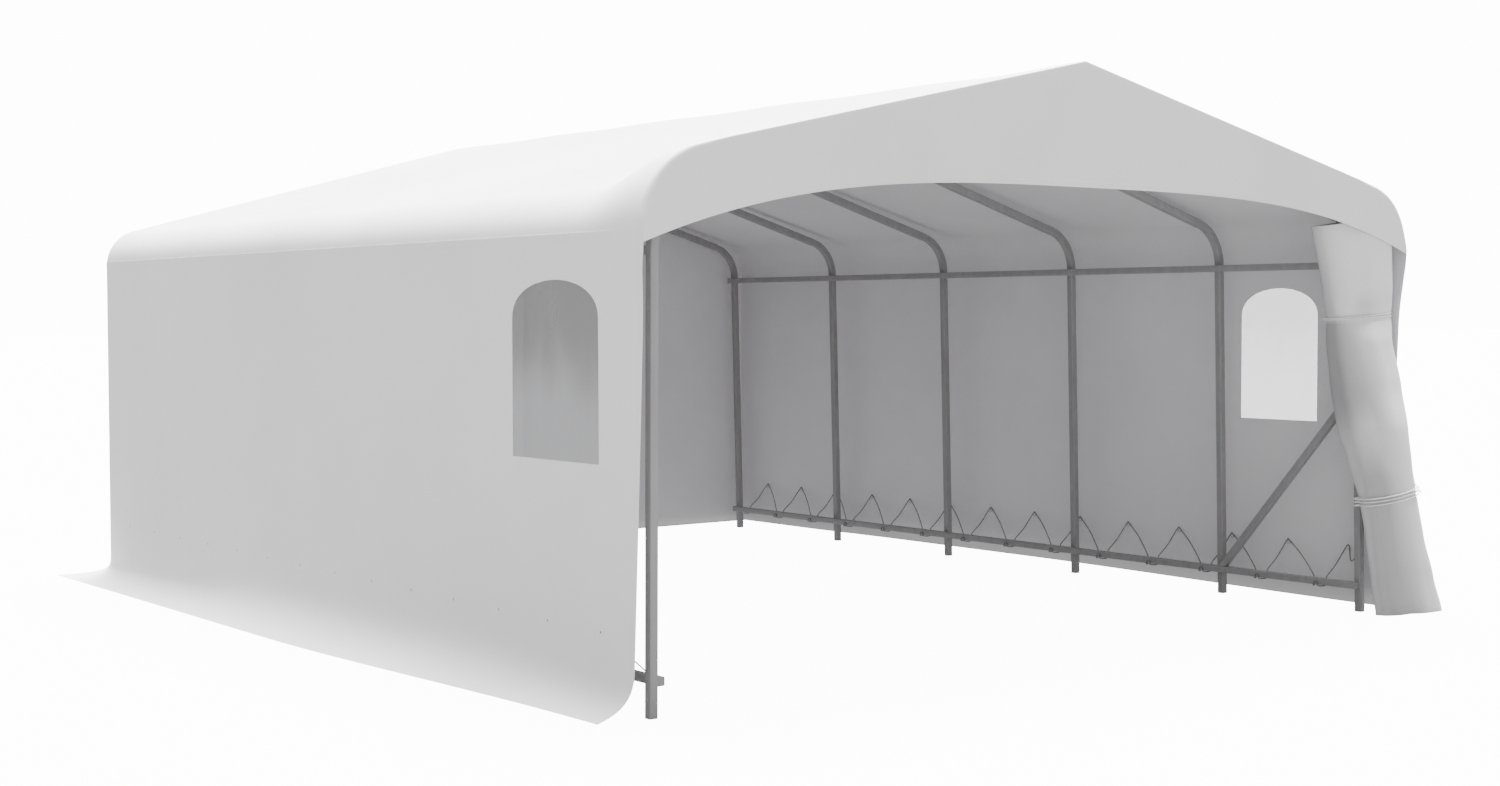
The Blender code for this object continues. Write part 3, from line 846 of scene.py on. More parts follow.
@dataclass
class SheetMesh:
    """Points and faces of a sheet while it is laid out in strips."""

    points: list[Point] = field(default_factory=list)
    flat: list[tuple[float, float]] = field(default_factory=list)
    edge: list[float] = field(default_factory=list)
    # painted shade stored on each point, nought where none is painted
    painted_shade: list[float] = field(default_factory=list)
    faces: list[tuple[int, ...]] = field(default_factory=list)

    def add_grid(self, rows: Sequence[Sequence[tuple[Point, tuple[float, float], float]]]) -> None:
        """Adds a grid.

        Args:
            rows: rows of (place, flat place in metres, distance to the free edge).
        """
        first = len(self.points)
        wide = len(rows[0])
        for row in rows:
            for place, flat, edge in row:
                self.points.append(place)
                self.flat.append(flat)
                self.edge.append(edge)
        for i in range(len(rows) - 1):
            for j in range(wide - 1):
                a = first + i * wide + j
                self.faces.append((a, a + 1, a + wide + 1, a + wide))

    def area(self) -> float:
        """The sheet's area in square metres."""
        total = 0.0
        for face in self.faces:
            a, b, c, d = (Vector(self.points[k]) for k in face)
            total += ((b - a).cross(c - a).length + (c - a).cross(d - a).length) / 2
        return total

    def build(self, name: str, thick: float, outward: Callable[[Vector], Vector]) -> bpy.types.Object:
        """Makes the sheet.

        Args:
            name: the piece's name.
            thick: the cloth's thickness, which goes inwards.
            outward: gives a rough outward direction at a place.

        Returns:
            The piece.
        """
        mesh = bpy.data.meshes.new(name)
        mesh.from_pydata([(x, y + FOOT_LINE, z) for x, y, z in self.points], [], self.faces)
        metres = mesh.uv_layers.new(name="metres")
        for loop in mesh.loops:
            metres.data[loop.index].uv = self.flat[loop.vertex_index]
        edge = mesh.attributes.new("edge_distance", "FLOAT", "POINT")
        edge.data.foreach_set("value", self.edge)
        # the painted shade is stored on the points for the cloth material
        painted_shade = mesh.attributes.new("painted_shade", "FLOAT", "POINT")
        painted_shade.data.foreach_set("value", self.painted_shade or [0.0] * len(self.points))
        piece = bpy.data.objects.new(name, mesh)
        bpy.context.collection.objects.link(piece)
        Bench.face_outwards(piece, weld=0.0002)
        votes = sum(1 if face.normal.dot(outward(face.center)) > 0 else -1 for face in mesh.polygons)
        if votes < 0:
            mesh.flip_normals()
        Bench.modifier(piece, "SOLIDIFY", thickness=thick, offset=-1.0)
        bpy.ops.object.shade_smooth_by_angle(angle=CLOTH_SMOOTH)
        return piece


@dataclass(frozen=True)
class Cover:
    """The cloth over the frame: one long sheet with its front gable, and the rear wall."""

    dresser: Dresser
    tubes: TubeFrame
    shape: CoverShape = CoverShape()
    roof_sag: float = 0.006
    wall_sag: float = 0.003
    window_left: tuple[float, float] = (0.185, 0.890)
    window_right: tuple[float, float] = (0.405, 0.965)
    sill_z: float = 1.072
    spring_z: float = 1.690
    crown_z: float = 1.862
    window_mean_height: float = 0.757
    film: float = 0.0006

    def columns(self) -> list[float]:
        """Shares along the sheet where its columns lie, closer near the front."""
        near = [0.0, 0.002, 0.0045, 0.008, 0.013, 0.02, 0.03, 0.042, 0.056, 0.07, 0.085, 0.1]
        rest = [0.1 + 0.9 * i / 56 for i in range(1, 56)]
        return near + rest + [0.997, 1.0]

    def wall_rows(self) -> list[float]:
        """Heights of the wall's rows."""
        low = [0.3 * (i / 16) ** 1.8 for i in range(17)]
        high = [0.3 + (self.shape.split_z - 0.3) * i / 40 for i in range(1, 41)]
        return low + high

    def wall_grid(self, side: Side) -> list:
        """Rows of a side wall from its hem on the ground up to the split line."""
        s = self.shape
        grid = []
        run = 0.0
        last = None
        for z in self.wall_rows():
            front = s.front_edge(z) + (s.front_y - s.gable_y) * ease((z - s.fold_start_z) / 0.12)
            radius = s.fold(z)
            slack = math.sin(math.pi * min(max((z - s.skirt_z) / (s.split_z - s.skirt_z), 0.0), 1.0))
            back = s.rear_y - s.cad_cloth + s.skirt(s.skirt_reach, s.powers[2], z, s.cad_cloth)[0]
            row = []
            for step in range(s.fold_steps):
                angle = math.pi / 2 * (1 - step / s.fold_steps)
                x = s.half_width(side, front, z) - radius * (1 - math.cos(angle))
                out, up = s.skirt(*s.side_skirt(front), z, s.cad_cloth)
                place_y = front + max(radius * (1 - math.sin(angle)), 0.0004 * step)
                row.append([side.value * (x - s.cad_cloth + out), place_y, up])
            start = front + max(radius, 0.0004 * s.fold_steps)
            for share in self.columns():
                y = start + (back - start) * share
                out, up = s.skirt(*s.side_skirt(y), z, s.cad_cloth)
                inward = self.wall_sag * s.sag(y, self.tubes.arch_y) * slack
                x = s.half_width(side, y, z) - s.cad_cloth + out - inward
                row.append([side.value * x, y, up])
            middle = Vector(row[30])
            run += (middle - last).length if last is not None else 0.0
            last = middle
            grid.append([(tuple(p), (run, p[1]), min(p[1] - front, run)) for p in row])
        return grid

    def roof_grid(self) -> list:
        """Rows of the roof, from the left split line to the right one, turned to columns along y."""
        s = self.shape
        front = s.front_y + s.fold_max
        back = s.rear_y
        rows = []
        for share in self.columns():
            y = front + (back - front) * share
            line = s.outline(y, 0.0)
            drop = self.roof_sag * s.sag(y, self.tubes.arch_y)
            run = 2.2
            row = []
            for k, (x, z) in enumerate(line):
                if k:
                    run += math.dist(line[k - 1], (x, z))
                low = drop * ease((z - s.split_z) / 0.25)
                row.append(((x, y, z - low), (run, y), 1.0))
            rows.append(row)
        return rows

    def gable_grid(self) -> list:
        """Rows of the front gable, from the edge folded over from the roof to its arched lower edge."""
        s = self.shape
        outer = s.outline(s.front_y + s.fold_max, 0.0)
        inner = s.outline(s.front_y + s.fold_max, s.fold_max)
        bends = [s.fold(z) for _, z in outer]
        rows = [[
            ((x, s.front_y + s.fold_max, z), (2.2 + k * 0.09, 0.1), 1.0)
            for k, (x, z) in enumerate(outer)
        ]]
        for step in range(s.fold_steps + 1):
            angle = math.pi / 2 * step / s.fold_steps
            row = []
            for k, (a, b, bend) in enumerate(zip(outer, inner, bends)):
                share = (1 - math.cos(angle)) * bend / s.fold_max
                place = (
                    a[0] + (b[0] - a[0]) * share,
                    s.front_y + bend * (1 - math.sin(angle)),
                    a[1] + (b[1] - a[1]) * share,
                )
                row.append((place, (2.2 + k * 0.09, place[1]), 1.0))
            rows.append(row)
        upper = [place for place, _, _ in rows[-1]]
        last = len(upper) - 1
        half = [s.half_width(side, s.gable_y, s.split_z) - s.fold(s.split_z) for side in Side]
        lower = []
        for k in range(last + 1):
            share = 2 * k / last - 1
            x = math.copysign(half[share > 0] * abs(share) ** 0.9, share)
            lower.append((x, s.front_y, s.valance(x)))
        falls = [0.03, 0.1, 0.2, 0.32, 0.45, 0.58, 0.7, 0.8, 0.88, 0.94, 0.97, 1.0]
        for fall in falls:
            row = []
            for k, (a, b) in enumerate(zip(upper, lower)):
                place = Vector(a).lerp(Vector(b), fall)
                down = (Vector(a) - Vector(b)).length
                row.append((tuple(place), (2.2 + place.x, s.front_y - down * fall), down * (1 - fall)))
            rows.append(row)
        return rows

    def window(self, side: Side) -> tuple[float, float]:
        """Where a side's window starts and ends along the wall."""
        return self.window_left if side is Side.LEFT else self.window_right

    def window_outline(self, side: Side, grow: float, steps: int = 28) -> list[tuple[float, float]]:
        """A window's outline as (y, z) points: straight sides and a flattened arch on top."""
        low, high = self.window(side)
        middle, half = (low + high) / 2, (high - low) / 2 + grow
        rise = self.crown_z - self.spring_z + grow
        points = [(middle - half, self.sill_z - grow), (middle + half, self.sill_z - grow)]
        for step in range(steps + 1):
            angle = math.pi * step / steps
            points.append((middle + half * math.cos(angle), self.spring_z + rise * math.sin(angle) ** 0.85))
        return points

    def window_block(self, side: Side, near: float, far: float) -> bpy.types.Object:
        """A block of the window's outline between two half widths, for cutting the wall."""
        mesh = bpy.data.meshes.new("window_block")
        rim = self.window_outline(side, 0.0)
        count = len(rim)
        points = [(side.value * x, y + FOOT_LINE, z) for x in (near, far) for y, z in rim]
        sides = [(i, (i + 1) % count, count + (i + 1) % count, count + i) for i in range(count)]
        mesh.from_pydata(points, [], [tuple(range(count)), tuple(range(count, 2 * count)), *sides])
        piece = bpy.data.objects.new("window_block", mesh)
        bpy.context.collection.objects.link(piece)
        Bench.face_outwards(piece)
        return piece

    def build_sheet(self) -> None:
        """The long sheet: both walls, the roof and the front gable in one piece of cloth."""
        s = self.shape
        sheet = SheetMesh()
        for side in Side:
            sheet.add_grid(self.wall_grid(side))
        sheet.add_grid(self.roof_grid())
        sheet.add_grid(self.gable_grid())
        area = sheet.area()

        def outward(at: Vector) -> Vector:
            y = at.y - FOOT_LINE
            front = -1.0 if y < s.front_y + 0.004 else 0.0
            return Vector((at.x / 3, front * 3, (at.z - 1.2) if at.z > 2.06 else 0.2))

        piece = sheet.build("cover_sheet", s.cloth, outward)
        for side in Side:
            block = self.window_block(side, s.wall_half - 0.08, s.wall_half + 0.08)
            Bench.modifier(piece, "BOOLEAN", object=block, operation="DIFFERENCE", solver="EXACT")
            bpy.data.objects.remove(block)
            low, high = self.window(side)
            area -= (high - low) * self.window_mean_height
        bpy.ops.object.shade_smooth_by_angle(angle=CLOTH_SMOOTH)
        nodes = ("roof_left", "roof_right", "wall_left", "wall_right", "front_gable")
        self.dresser.dress(piece, self.dresser.cloth, "cover_cloth", nodes)
        log.info("cover sheet: %.2f square metres", area)

    def build_rear(self) -> None:
        """The rear wall with its gable and skirt."""
        s = self.shape
        upper = s.outline(s.rear_y, 0.0, 14, 14)
        columns = len(upper) - 1
        rows = []
        run = 0.0
        for z in self.wall_rows():
            edge = s.wall_half - s.cad_cloth + s.skirt(s.skirt_reach, s.powers[2], z, s.cad_cloth)[0]
            row = []
            for i in range(columns + 1):
                share = 2 * i / columns - 1
                power = s.powers[3] + (s.powers[2] - s.powers[3]) * ease((abs(share) - 0.3) / 0.4)
                out, up = s.skirt(s.skirt_reach, power, z, s.cad_cloth)
                row.append(((edge * share, s.rear_y - s.cad_cloth + out, up), (edge * share, run), run))
            run += 0.05
            rows.append(row)
        base = [place for place, _, _ in rows[-1]]
        for step in range(1, 9):
            share = step / 8
            row = []
            for (x0, y0, z0), (x1, z1) in zip(base, upper):
                place = (x0 + (x1 - x0) * share, y0, z0 + (z1 - z0) * share)
                row.append((place, (place[0], place[2]), 1.0))
            rows.append(row)
        sheet = SheetMesh()
        sheet.add_grid(rows)
        piece = sheet.build("rear_sheet", s.cloth, lambda at: Vector((0, 1, 0.1)))
        self.dresser.dress(piece, self.dresser.cloth, "cover_cloth", ["rear_wall"])

    def build_windows(self) -> None:
        """The film of each window, slightly slack in its opening."""
        s = self.shape
        for side in Side:
            low, high = self.window(side)
            rows = []
            wide, tall = 24, 32
            for i in range(tall + 1):
                row = []
                for j in range(wide + 1):
                    across = 0.5 - 0.5 * math.cos(math.pi * j / wide)
                    y = low + (high - low) * across
                    arch = max(0.0, 1 - (2 * across - 1) ** 2) ** 0.425
                    top = self.spring_z + (self.crown_z - self.spring_z) * arch
                    z = self.sill_z + (top - self.sill_z) * i / tall
                    slack = math.sin(math.pi * across) * math.sin(math.pi * i / tall)
                    ripple = math.sin(9 * across + 2.2 * i / tall)
                    ripple += 0.6 * math.sin(17 * across - 3 * i / tall + 1)
                    x = s.wall_half - 0.0022 - slack * (0.0025 + 0.0012 * ripple)
                    row.append(((side.value * x, y, z), (y, z), 1.0))
                rows.append(row)
            sheet = SheetMesh()
            sheet.add_grid(rows)
            way = side.value
            piece = sheet.build(f"film_{side.word}", self.film, lambda at, way=way: Vector((way, 0, 0)))
            self.dresser.dress(piece, self.dresser.film, "window_film", [f"window_{side.word}"])

    def build(self) -> None:
        """Builds all the sheets of the cover."""
        self.build_sheet()
        self.build_rear()
        self.build_windows()


@dataclass(frozen=True)
class DoorCurtain:
    """One half of the front door, rolled up to the side and tied twice."""

    dresser: Dresser
    cloth: float = 0.0016
    turns: float = 2.9
    top_z: float = 2.180
    top_rise: float = 0.15
    upper_z: float = 1.694
    lower_z: float = 0.660
    upper_slope: float = 0.06
    lower_slope: float = 0.15
    middle_x: float = 2.400
    waist: float = 0.006
    pinch_width: float = 0.026
    steps_round: int = 110
    steps_up: int = 96
    cord: float = 0.0036
    cord_gap: float = 0.0004
    upper_loops: tuple[tuple[float, ...], ...] = (
        (-0.006, 0.0, 0.004, 0.012), (0.006, 0.02, 0.004, 0.012),
    )
    lower_loops: tuple[tuple[float, ...], ...] = (
        (-0.019, 0.0, 0.022, 0.074), (0.001, 0.0, 0.020, 0.058), (0.019, 0.0, 0.018, 0.044),
    )
    sight: tuple[float, float] = (0.792, 0.610)
    shape: tuple[tuple[float, ...], ...] = (
        (0.003, 2.462, -0.205, 2.812, -0.200, 0.098, 0.000),
        (0.200, 2.450, -0.180, 2.745, -0.190, 0.095, 0.015),
        (0.450, 2.399, -0.170, 2.665, -0.187, 0.085, 0.025),
        (0.660, 2.354, -0.150, 2.612, -0.190, 0.070, 0.030),
        (0.860, 2.290, -0.150, 2.575, -0.174, 0.080, 0.080),
        (1.060, 2.227, -0.140, 2.540, -0.165, 0.085, 0.130),
        (1.300, 2.200, -0.130, 2.527, -0.125, 0.085, 0.170),
        (1.560, 2.162, -0.110, 2.480, -0.105, 0.075, 0.150),
        (1.694, 2.156, -0.0813, 2.530, -0.0813, 0.060, 0.100),
        (1.860, 2.111, -0.0893, 2.515, -0.0893, 0.068, 0.095),
        (2.180, 2.004, -0.0920, 2.490, -0.0920, 0.068, 0.085),
    )
    front_points: tuple[tuple[float, float], ...] = (
        (0.81, 1.01), (0.62, 0.98), (0.39, 0.82), (0.19, 0.59), (0.066, 0.33), (0.0, 0.0),
    )

    def section(self, z: float) -> list[float]:
        """The section at a height: both ends' middles, the radius, how far the left one turns in."""
        rows = self.shape
        for low, high in zip(rows, rows[1:]):
            if z <= high[0]:
                share = (z - low[0]) / (high[0] - low[0])
                share = share + 0.35 * (ease(share) - share)
                return [a + (b - a) * share for a, b in zip(low[1:], high[1:])]
        return list(rows[-1][1:])

    def pinch(self, z: float) -> float:
        """One at a tie, falling off to nought a hand's width away."""
        near = min(abs(z - self.upper_z), abs(z - self.lower_z))
        return math.exp(-((near / self.pinch_width) ** 2))

    def outline(self, z: float) -> list[tuple[float, float]]:
        """The bundle seen from above: its back, its right end, then its front round to the left tip."""
        left_x, left_y, right_x, right_y, radius, depth = self.section(z)
        across, back = self.sight
        low = across * left_x - back * left_y - radius
        wide = across * right_x - back * right_y + radius - low
        tip_y = left_y + 0.61 * radius + depth
        deep = tip_y - (right_y - radius)
        front = []
        for share, fall in self.front_points:
            y = tip_y - fall * deep
            front.append(((low + share * wide + back * y) / across, y))
        tip_x = front[-1][0]
        rest = (right_x - 0.32 * (right_x - left_x), right_y + radius - 0.002)
        hollow = ((tip_x + rest[0]) / 2 - 0.012, (tip_y + rest[1]) / 2 - 0.012)
        ends = [
            (right_x, right_y + radius),
            (right_x + radius, right_y),
            (right_x + 0.5 * radius, right_y - 0.87 * radius),
        ]
        return [hollow, rest, *ends, *front]

    def rim(self, z: float, turn: float, inset: float) -> tuple[float, float]:
        """A point on the rolled cloth seen from above.

        Args:
            z: height.
            turn: place round the bundle, one for a whole turn, from the hollow of its back.
            inset: how far in from the bundle's outside.

        Returns:
            x and y.
        """
        points = self.outline(z)
        count = len(points)
        first = int(turn % 1.0 * count)
        t = turn % 1.0 * count - first
        a, b, c, d = (points[(first + i) % count] for i in (-1, 0, 1, 2))
        x, y = smooth_between(a, b, c, d, t)
        way = Vector(((points[1][0] + points[7][0]) / 2 - x, (points[1][1] + points[7][1]) / 2 - y))
        move = way.normalized() * min(inset, 0.9 * way.length)
        return x + move.x, y + move.y

    @staticmethod
    def front_share(phase: float) -> float:
        """Nought at the front's left end and one at its right end."""
        return (0.92 - phase) / 0.56

    def relief(self, z: float, turn: float) -> float:
        """How far the cloth lies inside the outline: slow folds in front, small ones at the ties."""
        phase = turn % 1.0
        front = ease((phase - 0.30) / 0.08) * ease((0.93 - phase) / 0.08)
        share = self.front_share(phase)
        free = 1 - self.pinch(z)
        fan = 0.5 + 0.5 * math.cos(2 * math.pi * (7.0 * phase + 0.35 * math.sin(2.1 * z)))
        gather = self.pinch(z) * (0.5 + 0.5 * math.cos(2 * math.pi * 23 * phase + 1.3 * math.sin(5 * z)))
        valleys = (
            (0.012, 0.62, 0.15, math.exp(-(((z - 1.765) / 0.055) ** 2))),
            (0.020, 0.44 + (1.42 - z) * 0.40, 0.14, ease((z - 0.78) / 0.25) * ease((1.66 - z) / 0.14)),
            (0.018, 0.60, 0.15, ease((0.60 - z) / 0.16)),
        )
        hollow = sum(
            deep * reach * math.exp(-(((share - at) / wide) ** 2))
            for deep, at, wide, reach in valleys
        )
        return self.waist * self.pinch(z) + front * (hollow * free + 0.003 * fan * free + 0.003 * gather)

    def painted_shade(self, z: float, turn: float) -> float:
        """How much painted shade the outer turn gets: most in the hollows and where the bundle turns in."""
        phase = turn % 1.0
        share = self.front_share(phase)
        front = ease((phase - 0.30) / 0.06)
        patch = 0.35 * math.exp(-(((share - 0.62) / 0.18) ** 2)) * math.exp(-(((z - 1.765) / 0.06) ** 2))
        upper = (0.50 * (1 - ease((share + 0.05) / 0.55)) + patch) * ease((z - self.upper_z) / 0.03)
        edge = 0.52 + (1.42 - z) * 0.45
        middle = 0.82 * (1 - ease((share - edge + 0.24) / 0.5)) * ease((self.upper_z - z) / 0.03)
        middle *= ease((z - 0.80) / 0.45)
        lower = (0.22 + 0.76 * math.exp(-(((share - 0.44) / 0.26) ** 2))) * ease((1.10 - z) / 0.35)
        return front * min(upper + middle + lower, 0.90)

    def build_cloth(self) -> None:
        """The rolled cloth as one sheet whose outer turn shows."""
        count = int(self.turns * self.steps_round)
        low = self.shape[0][0]
        heights = [low + (self.top_z - low) * i / self.steps_up for i in range(self.steps_up + 1)]
        rows = []
        for z in heights:
            row = []
            run = 0.0
            for k in range(count + 1):
                turn = self.turns * k / count
                radius = self.section(z)[4]
                depth = 0.0012 + radius * 0.30 * turn * ease(turn / 0.9)
                depth = min(depth + self.relief(z, turn), radius * 0.93)
                x, y = self.rim(z, turn, depth)
                slope = self.upper_slope * math.exp(-(((z - self.upper_z) / 0.1) ** 2))
                slope += self.lower_slope * math.exp(-(((z - self.lower_z) / 0.1) ** 2))
                rise = self.top_rise * ease((z - 1.9) / 0.28) * (x - 1.936)
                place = (x, y, z + slope * (x - self.middle_x) + rise)
                if row:
                    run += math.dist(place, row[-1][0])
                row.append((place, (run, z), 1.0))
            rows.append([(p, f, min(f[0], z - self.shape[0][0], self.top_z - z)) for p, f, _ in row])
        sheet = SheetMesh()
        sheet.add_grid(rows)
        # painted shade for each point of the curtain's outer turn
        sheet.painted_shade = [self.painted_shade(z, self.turns * k / count) for z in heights for k in range(count + 1)]
        piece = sheet.build("door_curtain_cloth", self.cloth, self.outward)
        self.dresser.dress(piece, self.dresser.cloth, "cover_cloth", ["door_curtain"])

    def outward(self, at: Vector) -> Vector:
        """Rough direction away from the middle of the bundle."""
        points = self.outline(at.z)
        middle = [(points[1][i] + points[7][i]) / 2 for i in (0, 1)]
        return at - Vector((middle[0], middle[1] + FOOT_LINE, at.z))

    def cord_loop(self, z: float, slope: float, left: float, right: float) -> list[Point]:
        """One turn of cord round the bundle, which stands off at its two ends."""
        places = []
        steps = 56
        for k in range(steps):
            turn = k / steps
            x, y = self.rim(z, turn, self.waist - self.cord - self.cord_gap)
            phase = turn
            tip_right = math.exp(-(((phase - 0.285) / 0.035) ** 2)) * right
            tip_left = math.exp(-(((phase - 0.905) / 0.035) ** 2)) * left
            x += tip_right - tip_left
            places.append((x, y + FOOT_LINE, z + slope * (x - self.middle_x)))
        return spline(places, 3, closed=True)

    def build_ties(self) -> None:
        """The cords of both ties."""
        for name, z, slope, loops in (
            ("upper", self.upper_z, self.upper_slope, self.upper_loops),
            ("lower", self.lower_z, self.lower_slope, self.lower_loops),
        ):
            tie = Cord(self.cord, f"tie_{name}")
            for lift, tilt, left, right in loops:
                tie.add(self.cord_loop(z + lift, slope + tilt, left, right))
            tie.finish(self.dresser, self.dresser.tie, [f"curtain_tie_{name}"])

    def build(self) -> None:
        """Builds the curtain and its ties."""
        self.build_cloth()
        self.build_ties()


class Cord:
    """A round cord laid along smooth lines, with its turns in one mesh."""

    def __init__(self, radius: float, name: str, sides: int = 8) -> None:
        """Starts an empty cord of that radius and name."""
        self.radius, self.name, self.sides = radius, name, sides
        self.points: list[Point] = []
        self.flat: list[tuple[float, float]] = []
        self.faces: list[tuple[int, ...]] = []

    def add(self, line: Sequence[Point], closed: bool = True) -> None:
        """Adds a run of cord.

        Args:
            line: the points of its middle line, in the frame's metres.
            closed: whether it joins itself.
        """
        path = [Vector(p) for p in line]
        count = len(path)
        first = len(self.points)
        run = 0.0
        up = None
        for i, at in enumerate(path):
            before = path[i - 1] if (i or closed) else at
            after = path[(i + 1) % count] if (i < count - 1 or closed) else at
            along = (after - before).normalized()
            if up is None:
                up = along.orthogonal().normalized()
            up = (up - along * up.dot(along)).normalized()
            across = along.cross(up)
            if i:
                run += (at - path[i - 1]).length
            for k in range(self.sides):
                angle = 2 * math.pi * k / self.sides
                offset = up * math.cos(angle) + across * math.sin(angle)
                self.points.append(tuple(at + offset * self.radius))
                self.flat.append((angle * self.radius, run))
        for i in range(count if closed else count - 1):
            for k in range(self.sides):
                a = first + i * self.sides + k
                b = first + i * self.sides + (k + 1) % self.sides
                step = self.sides if i < count - 1 else self.sides - count * self.sides
                self.faces.append((a, b, b + step, a + step))
        if not closed:
            last = first + (count - 1) * self.sides
            self.faces.append(tuple(first + k for k in reversed(range(self.sides))))
            self.faces.append(tuple(last + k for k in range(self.sides)))

    def finish(
        self, dresser: Dresser, material: bpy.types.Material, stands_for: Iterable[str]
    ) -> bpy.types.Object:
        """Makes the mesh and dresses it."""
        mesh = bpy.data.meshes.new(self.name)
        mesh.from_pydata(self.points, [], self.faces)
        metres = mesh.uv_layers.new(name="metres")
        for loop in mesh.loops:
            metres.data[loop.index].uv = self.flat[loop.vertex_index]
        piece = bpy.data.objects.new(self.name, mesh)
        bpy.context.collection.objects.link(piece)
        Bench.face_outwards(piece)
        bpy.ops.object.shade_smooth_by_angle(angle=math.radians(60))
        return dresser.dress(piece, material, "cord", stands_for)


@dataclass(frozen=True)
class Lacing:
    """The cord that laces each wall to its bottom rail, with its hooks and studs."""

    dresser: Dresser
    tubes: TubeFrame
    radius: float = 0.0034
    first_peak: float = 0.178
    pitch: float = 0.4222
    peaks: int = 14
    peak_z: float = 0.352
    wall_x: float = 2.6017

    def route(self, side: Side) -> list[Point]:
        """The cord's route, up to each wall hook and down round the bottom rail."""
        rail_x, rail_z, gap = self.tubes.bottom_rail_x(side), self.tubes.rail_z, self.tubes.gap
        reach = self.tubes.rail / 2 + self.radius + gap
        outer, inner = rail_x + reach, rail_x - reach
        over, under = rail_z + reach, rail_z - reach
        half_x, half_z = (outer + self.wall_x) / 2, (over + self.peak_z) / 2
        start = self.tubes.leg / 2 + 0.015
        if side is Side.LEFT:
            route = [(inner, start + 0.010, under), (outer, start, under), (outer, start + 0.006, over)]
        else:
            leg_face = self.tubes.leg_x(side, 0.33) + self.tubes.leg / 2 + self.radius + gap
            route = [(leg_face, -0.014, 0.334), (leg_face, 0.012, 0.326), (leg_face + 0.012, 0.036, 0.318)]
        for number in range(self.peaks):
            peak = self.first_peak + self.pitch * number
            before = route[-1][1]
            route += [
                (half_x + 0.010, (before + peak) / 2, half_z + 0.012),
                (self.wall_x, peak - 0.012, self.peak_z - 0.005),
                (self.wall_x, peak + 0.006, self.peak_z),
                (half_x, peak + 0.026, half_z - 0.018),
                (outer, peak + 0.034, over),
                (outer, peak + 0.040, under),
                (inner, peak + 0.058, under),
            ]
            if number < self.peaks - 1:
                route += [
                    (inner, peak + 0.066, rail_z - 0.004),
                    (inner, peak + 0.084, rail_z - 0.004),
                    (inner, peak + 0.092, under),
                    (outer, peak + 0.115, under),
                    (outer, peak + 0.121, over),
                ]
        return [(side.value * x, y + FOOT_LINE, z) for x, y, z in route]

    def build_hook(self) -> bpy.types.Object:
        """A small wire hook that holds the cord's peak against the wall."""
        Bench.clear()
        bpy.ops.mesh.primitive_torus_add(
            major_radius=0.009, minor_radius=0.0016, major_segments=20, minor_segments=7,
            rotation=(0, math.pi / 2, 0),
        )
        piece = bpy.context.object
        bpy.ops.object.mode_set(mode="EDIT")
        bpy.ops.mesh.select_all(action="SELECT")
        bpy.ops.mesh.bisect(plane_co=(0, 0.002, 0.004), plane_no=(0, 0.3, 1), use_fill=True, clear_outer=True)
        return Bench.settle(piece, "wall_hook", 60)

    def build_stud(self) -> bpy.types.Object:
        """A round-headed stud with its washer, which holds the cord under the rail."""
        Bench.clear()
        bpy.ops.mesh.primitive_cylinder_add(
            vertices=20, radius=0.0085, depth=0.0016, rotation=(0, math.pi / 2, 0)
        )
        piece = bpy.context.object
        bpy.ops.object.mode_set(mode="EDIT")
        bpy.ops.mesh.select_all(action="DESELECT")
        mesh = bmesh.from_edit_mesh(piece.data)
        mesh.faces.ensure_lookup_table()
        turn = piece.matrix_world.to_3x3()
        for face in mesh.faces:
            face.select = (turn @ face.normal).x < -0.9
        bmesh.update_edit_mesh(piece.data)
        bpy.ops.mesh.inset(thickness=0.0032)
        Bench.pull(Vector((-0.0034, 0, 0)))
        bpy.ops.mesh.bevel(offset=0.0018, segments=3, affect="EDGES")
        return Bench.settle(piece, "rail_stud", 50)

    def scatter(self, model: bpy.types.Object, name: str, places: Sequence[Matrix]) -> None:
        """Joins copies of a small part into one piece.

        Args:
            model: the small part, at the origin. It is removed.
            name: the new piece's name.
            places: where the copies go.
        """
        copies = [Bench.copy(model, f"{name}_{i}", place) for i, place in enumerate(places)]
        Bench.clear()
        for made in copies:
            made.select_set(True)
        bpy.context.view_layer.objects.active = copies[0]
        bpy.ops.object.join()
        copies[0].name = copies[0].data.name = name
        bpy.data.objects.remove(model)
        self.dresser.dress(copies[0], self.dresser.zinc, "frame_tube")

    def build(self) -> None:
        """Builds the lacing of both sides."""
        for side in Side:
            cord = Cord(self.radius, f"lacing_{side.word}")
            cord.add(spline(self.route(side), 5), closed=False)
            cord.finish(self.dresser, self.dresser.lacing, [f"lacing_rope_{side.word}"])
            peaks = [self.first_peak + self.pitch * n + FOOT_LINE for n in range(self.peaks)]
            mirror = Matrix.Diagonal((side.value, 1, 1, 1))
            hooks = [mirror @ Matrix.Translation((self.wall_x - 0.001, y - 0.006, 0.338)) for y in peaks]
            self.scatter(self.build_hook(), f"wall_hooks_{side.word}", hooks)
            face_x = self.tubes.bottom_rail_x(side) - self.tubes.rail / 2 - 0.0008
            studs = [mirror @ Matrix.Translation((face_x, y + 0.075, 0.1445)) for y in peaks[:-1]]
            self.scatter(self.build_stud(), f"rail_studs_{side.word}", studs)


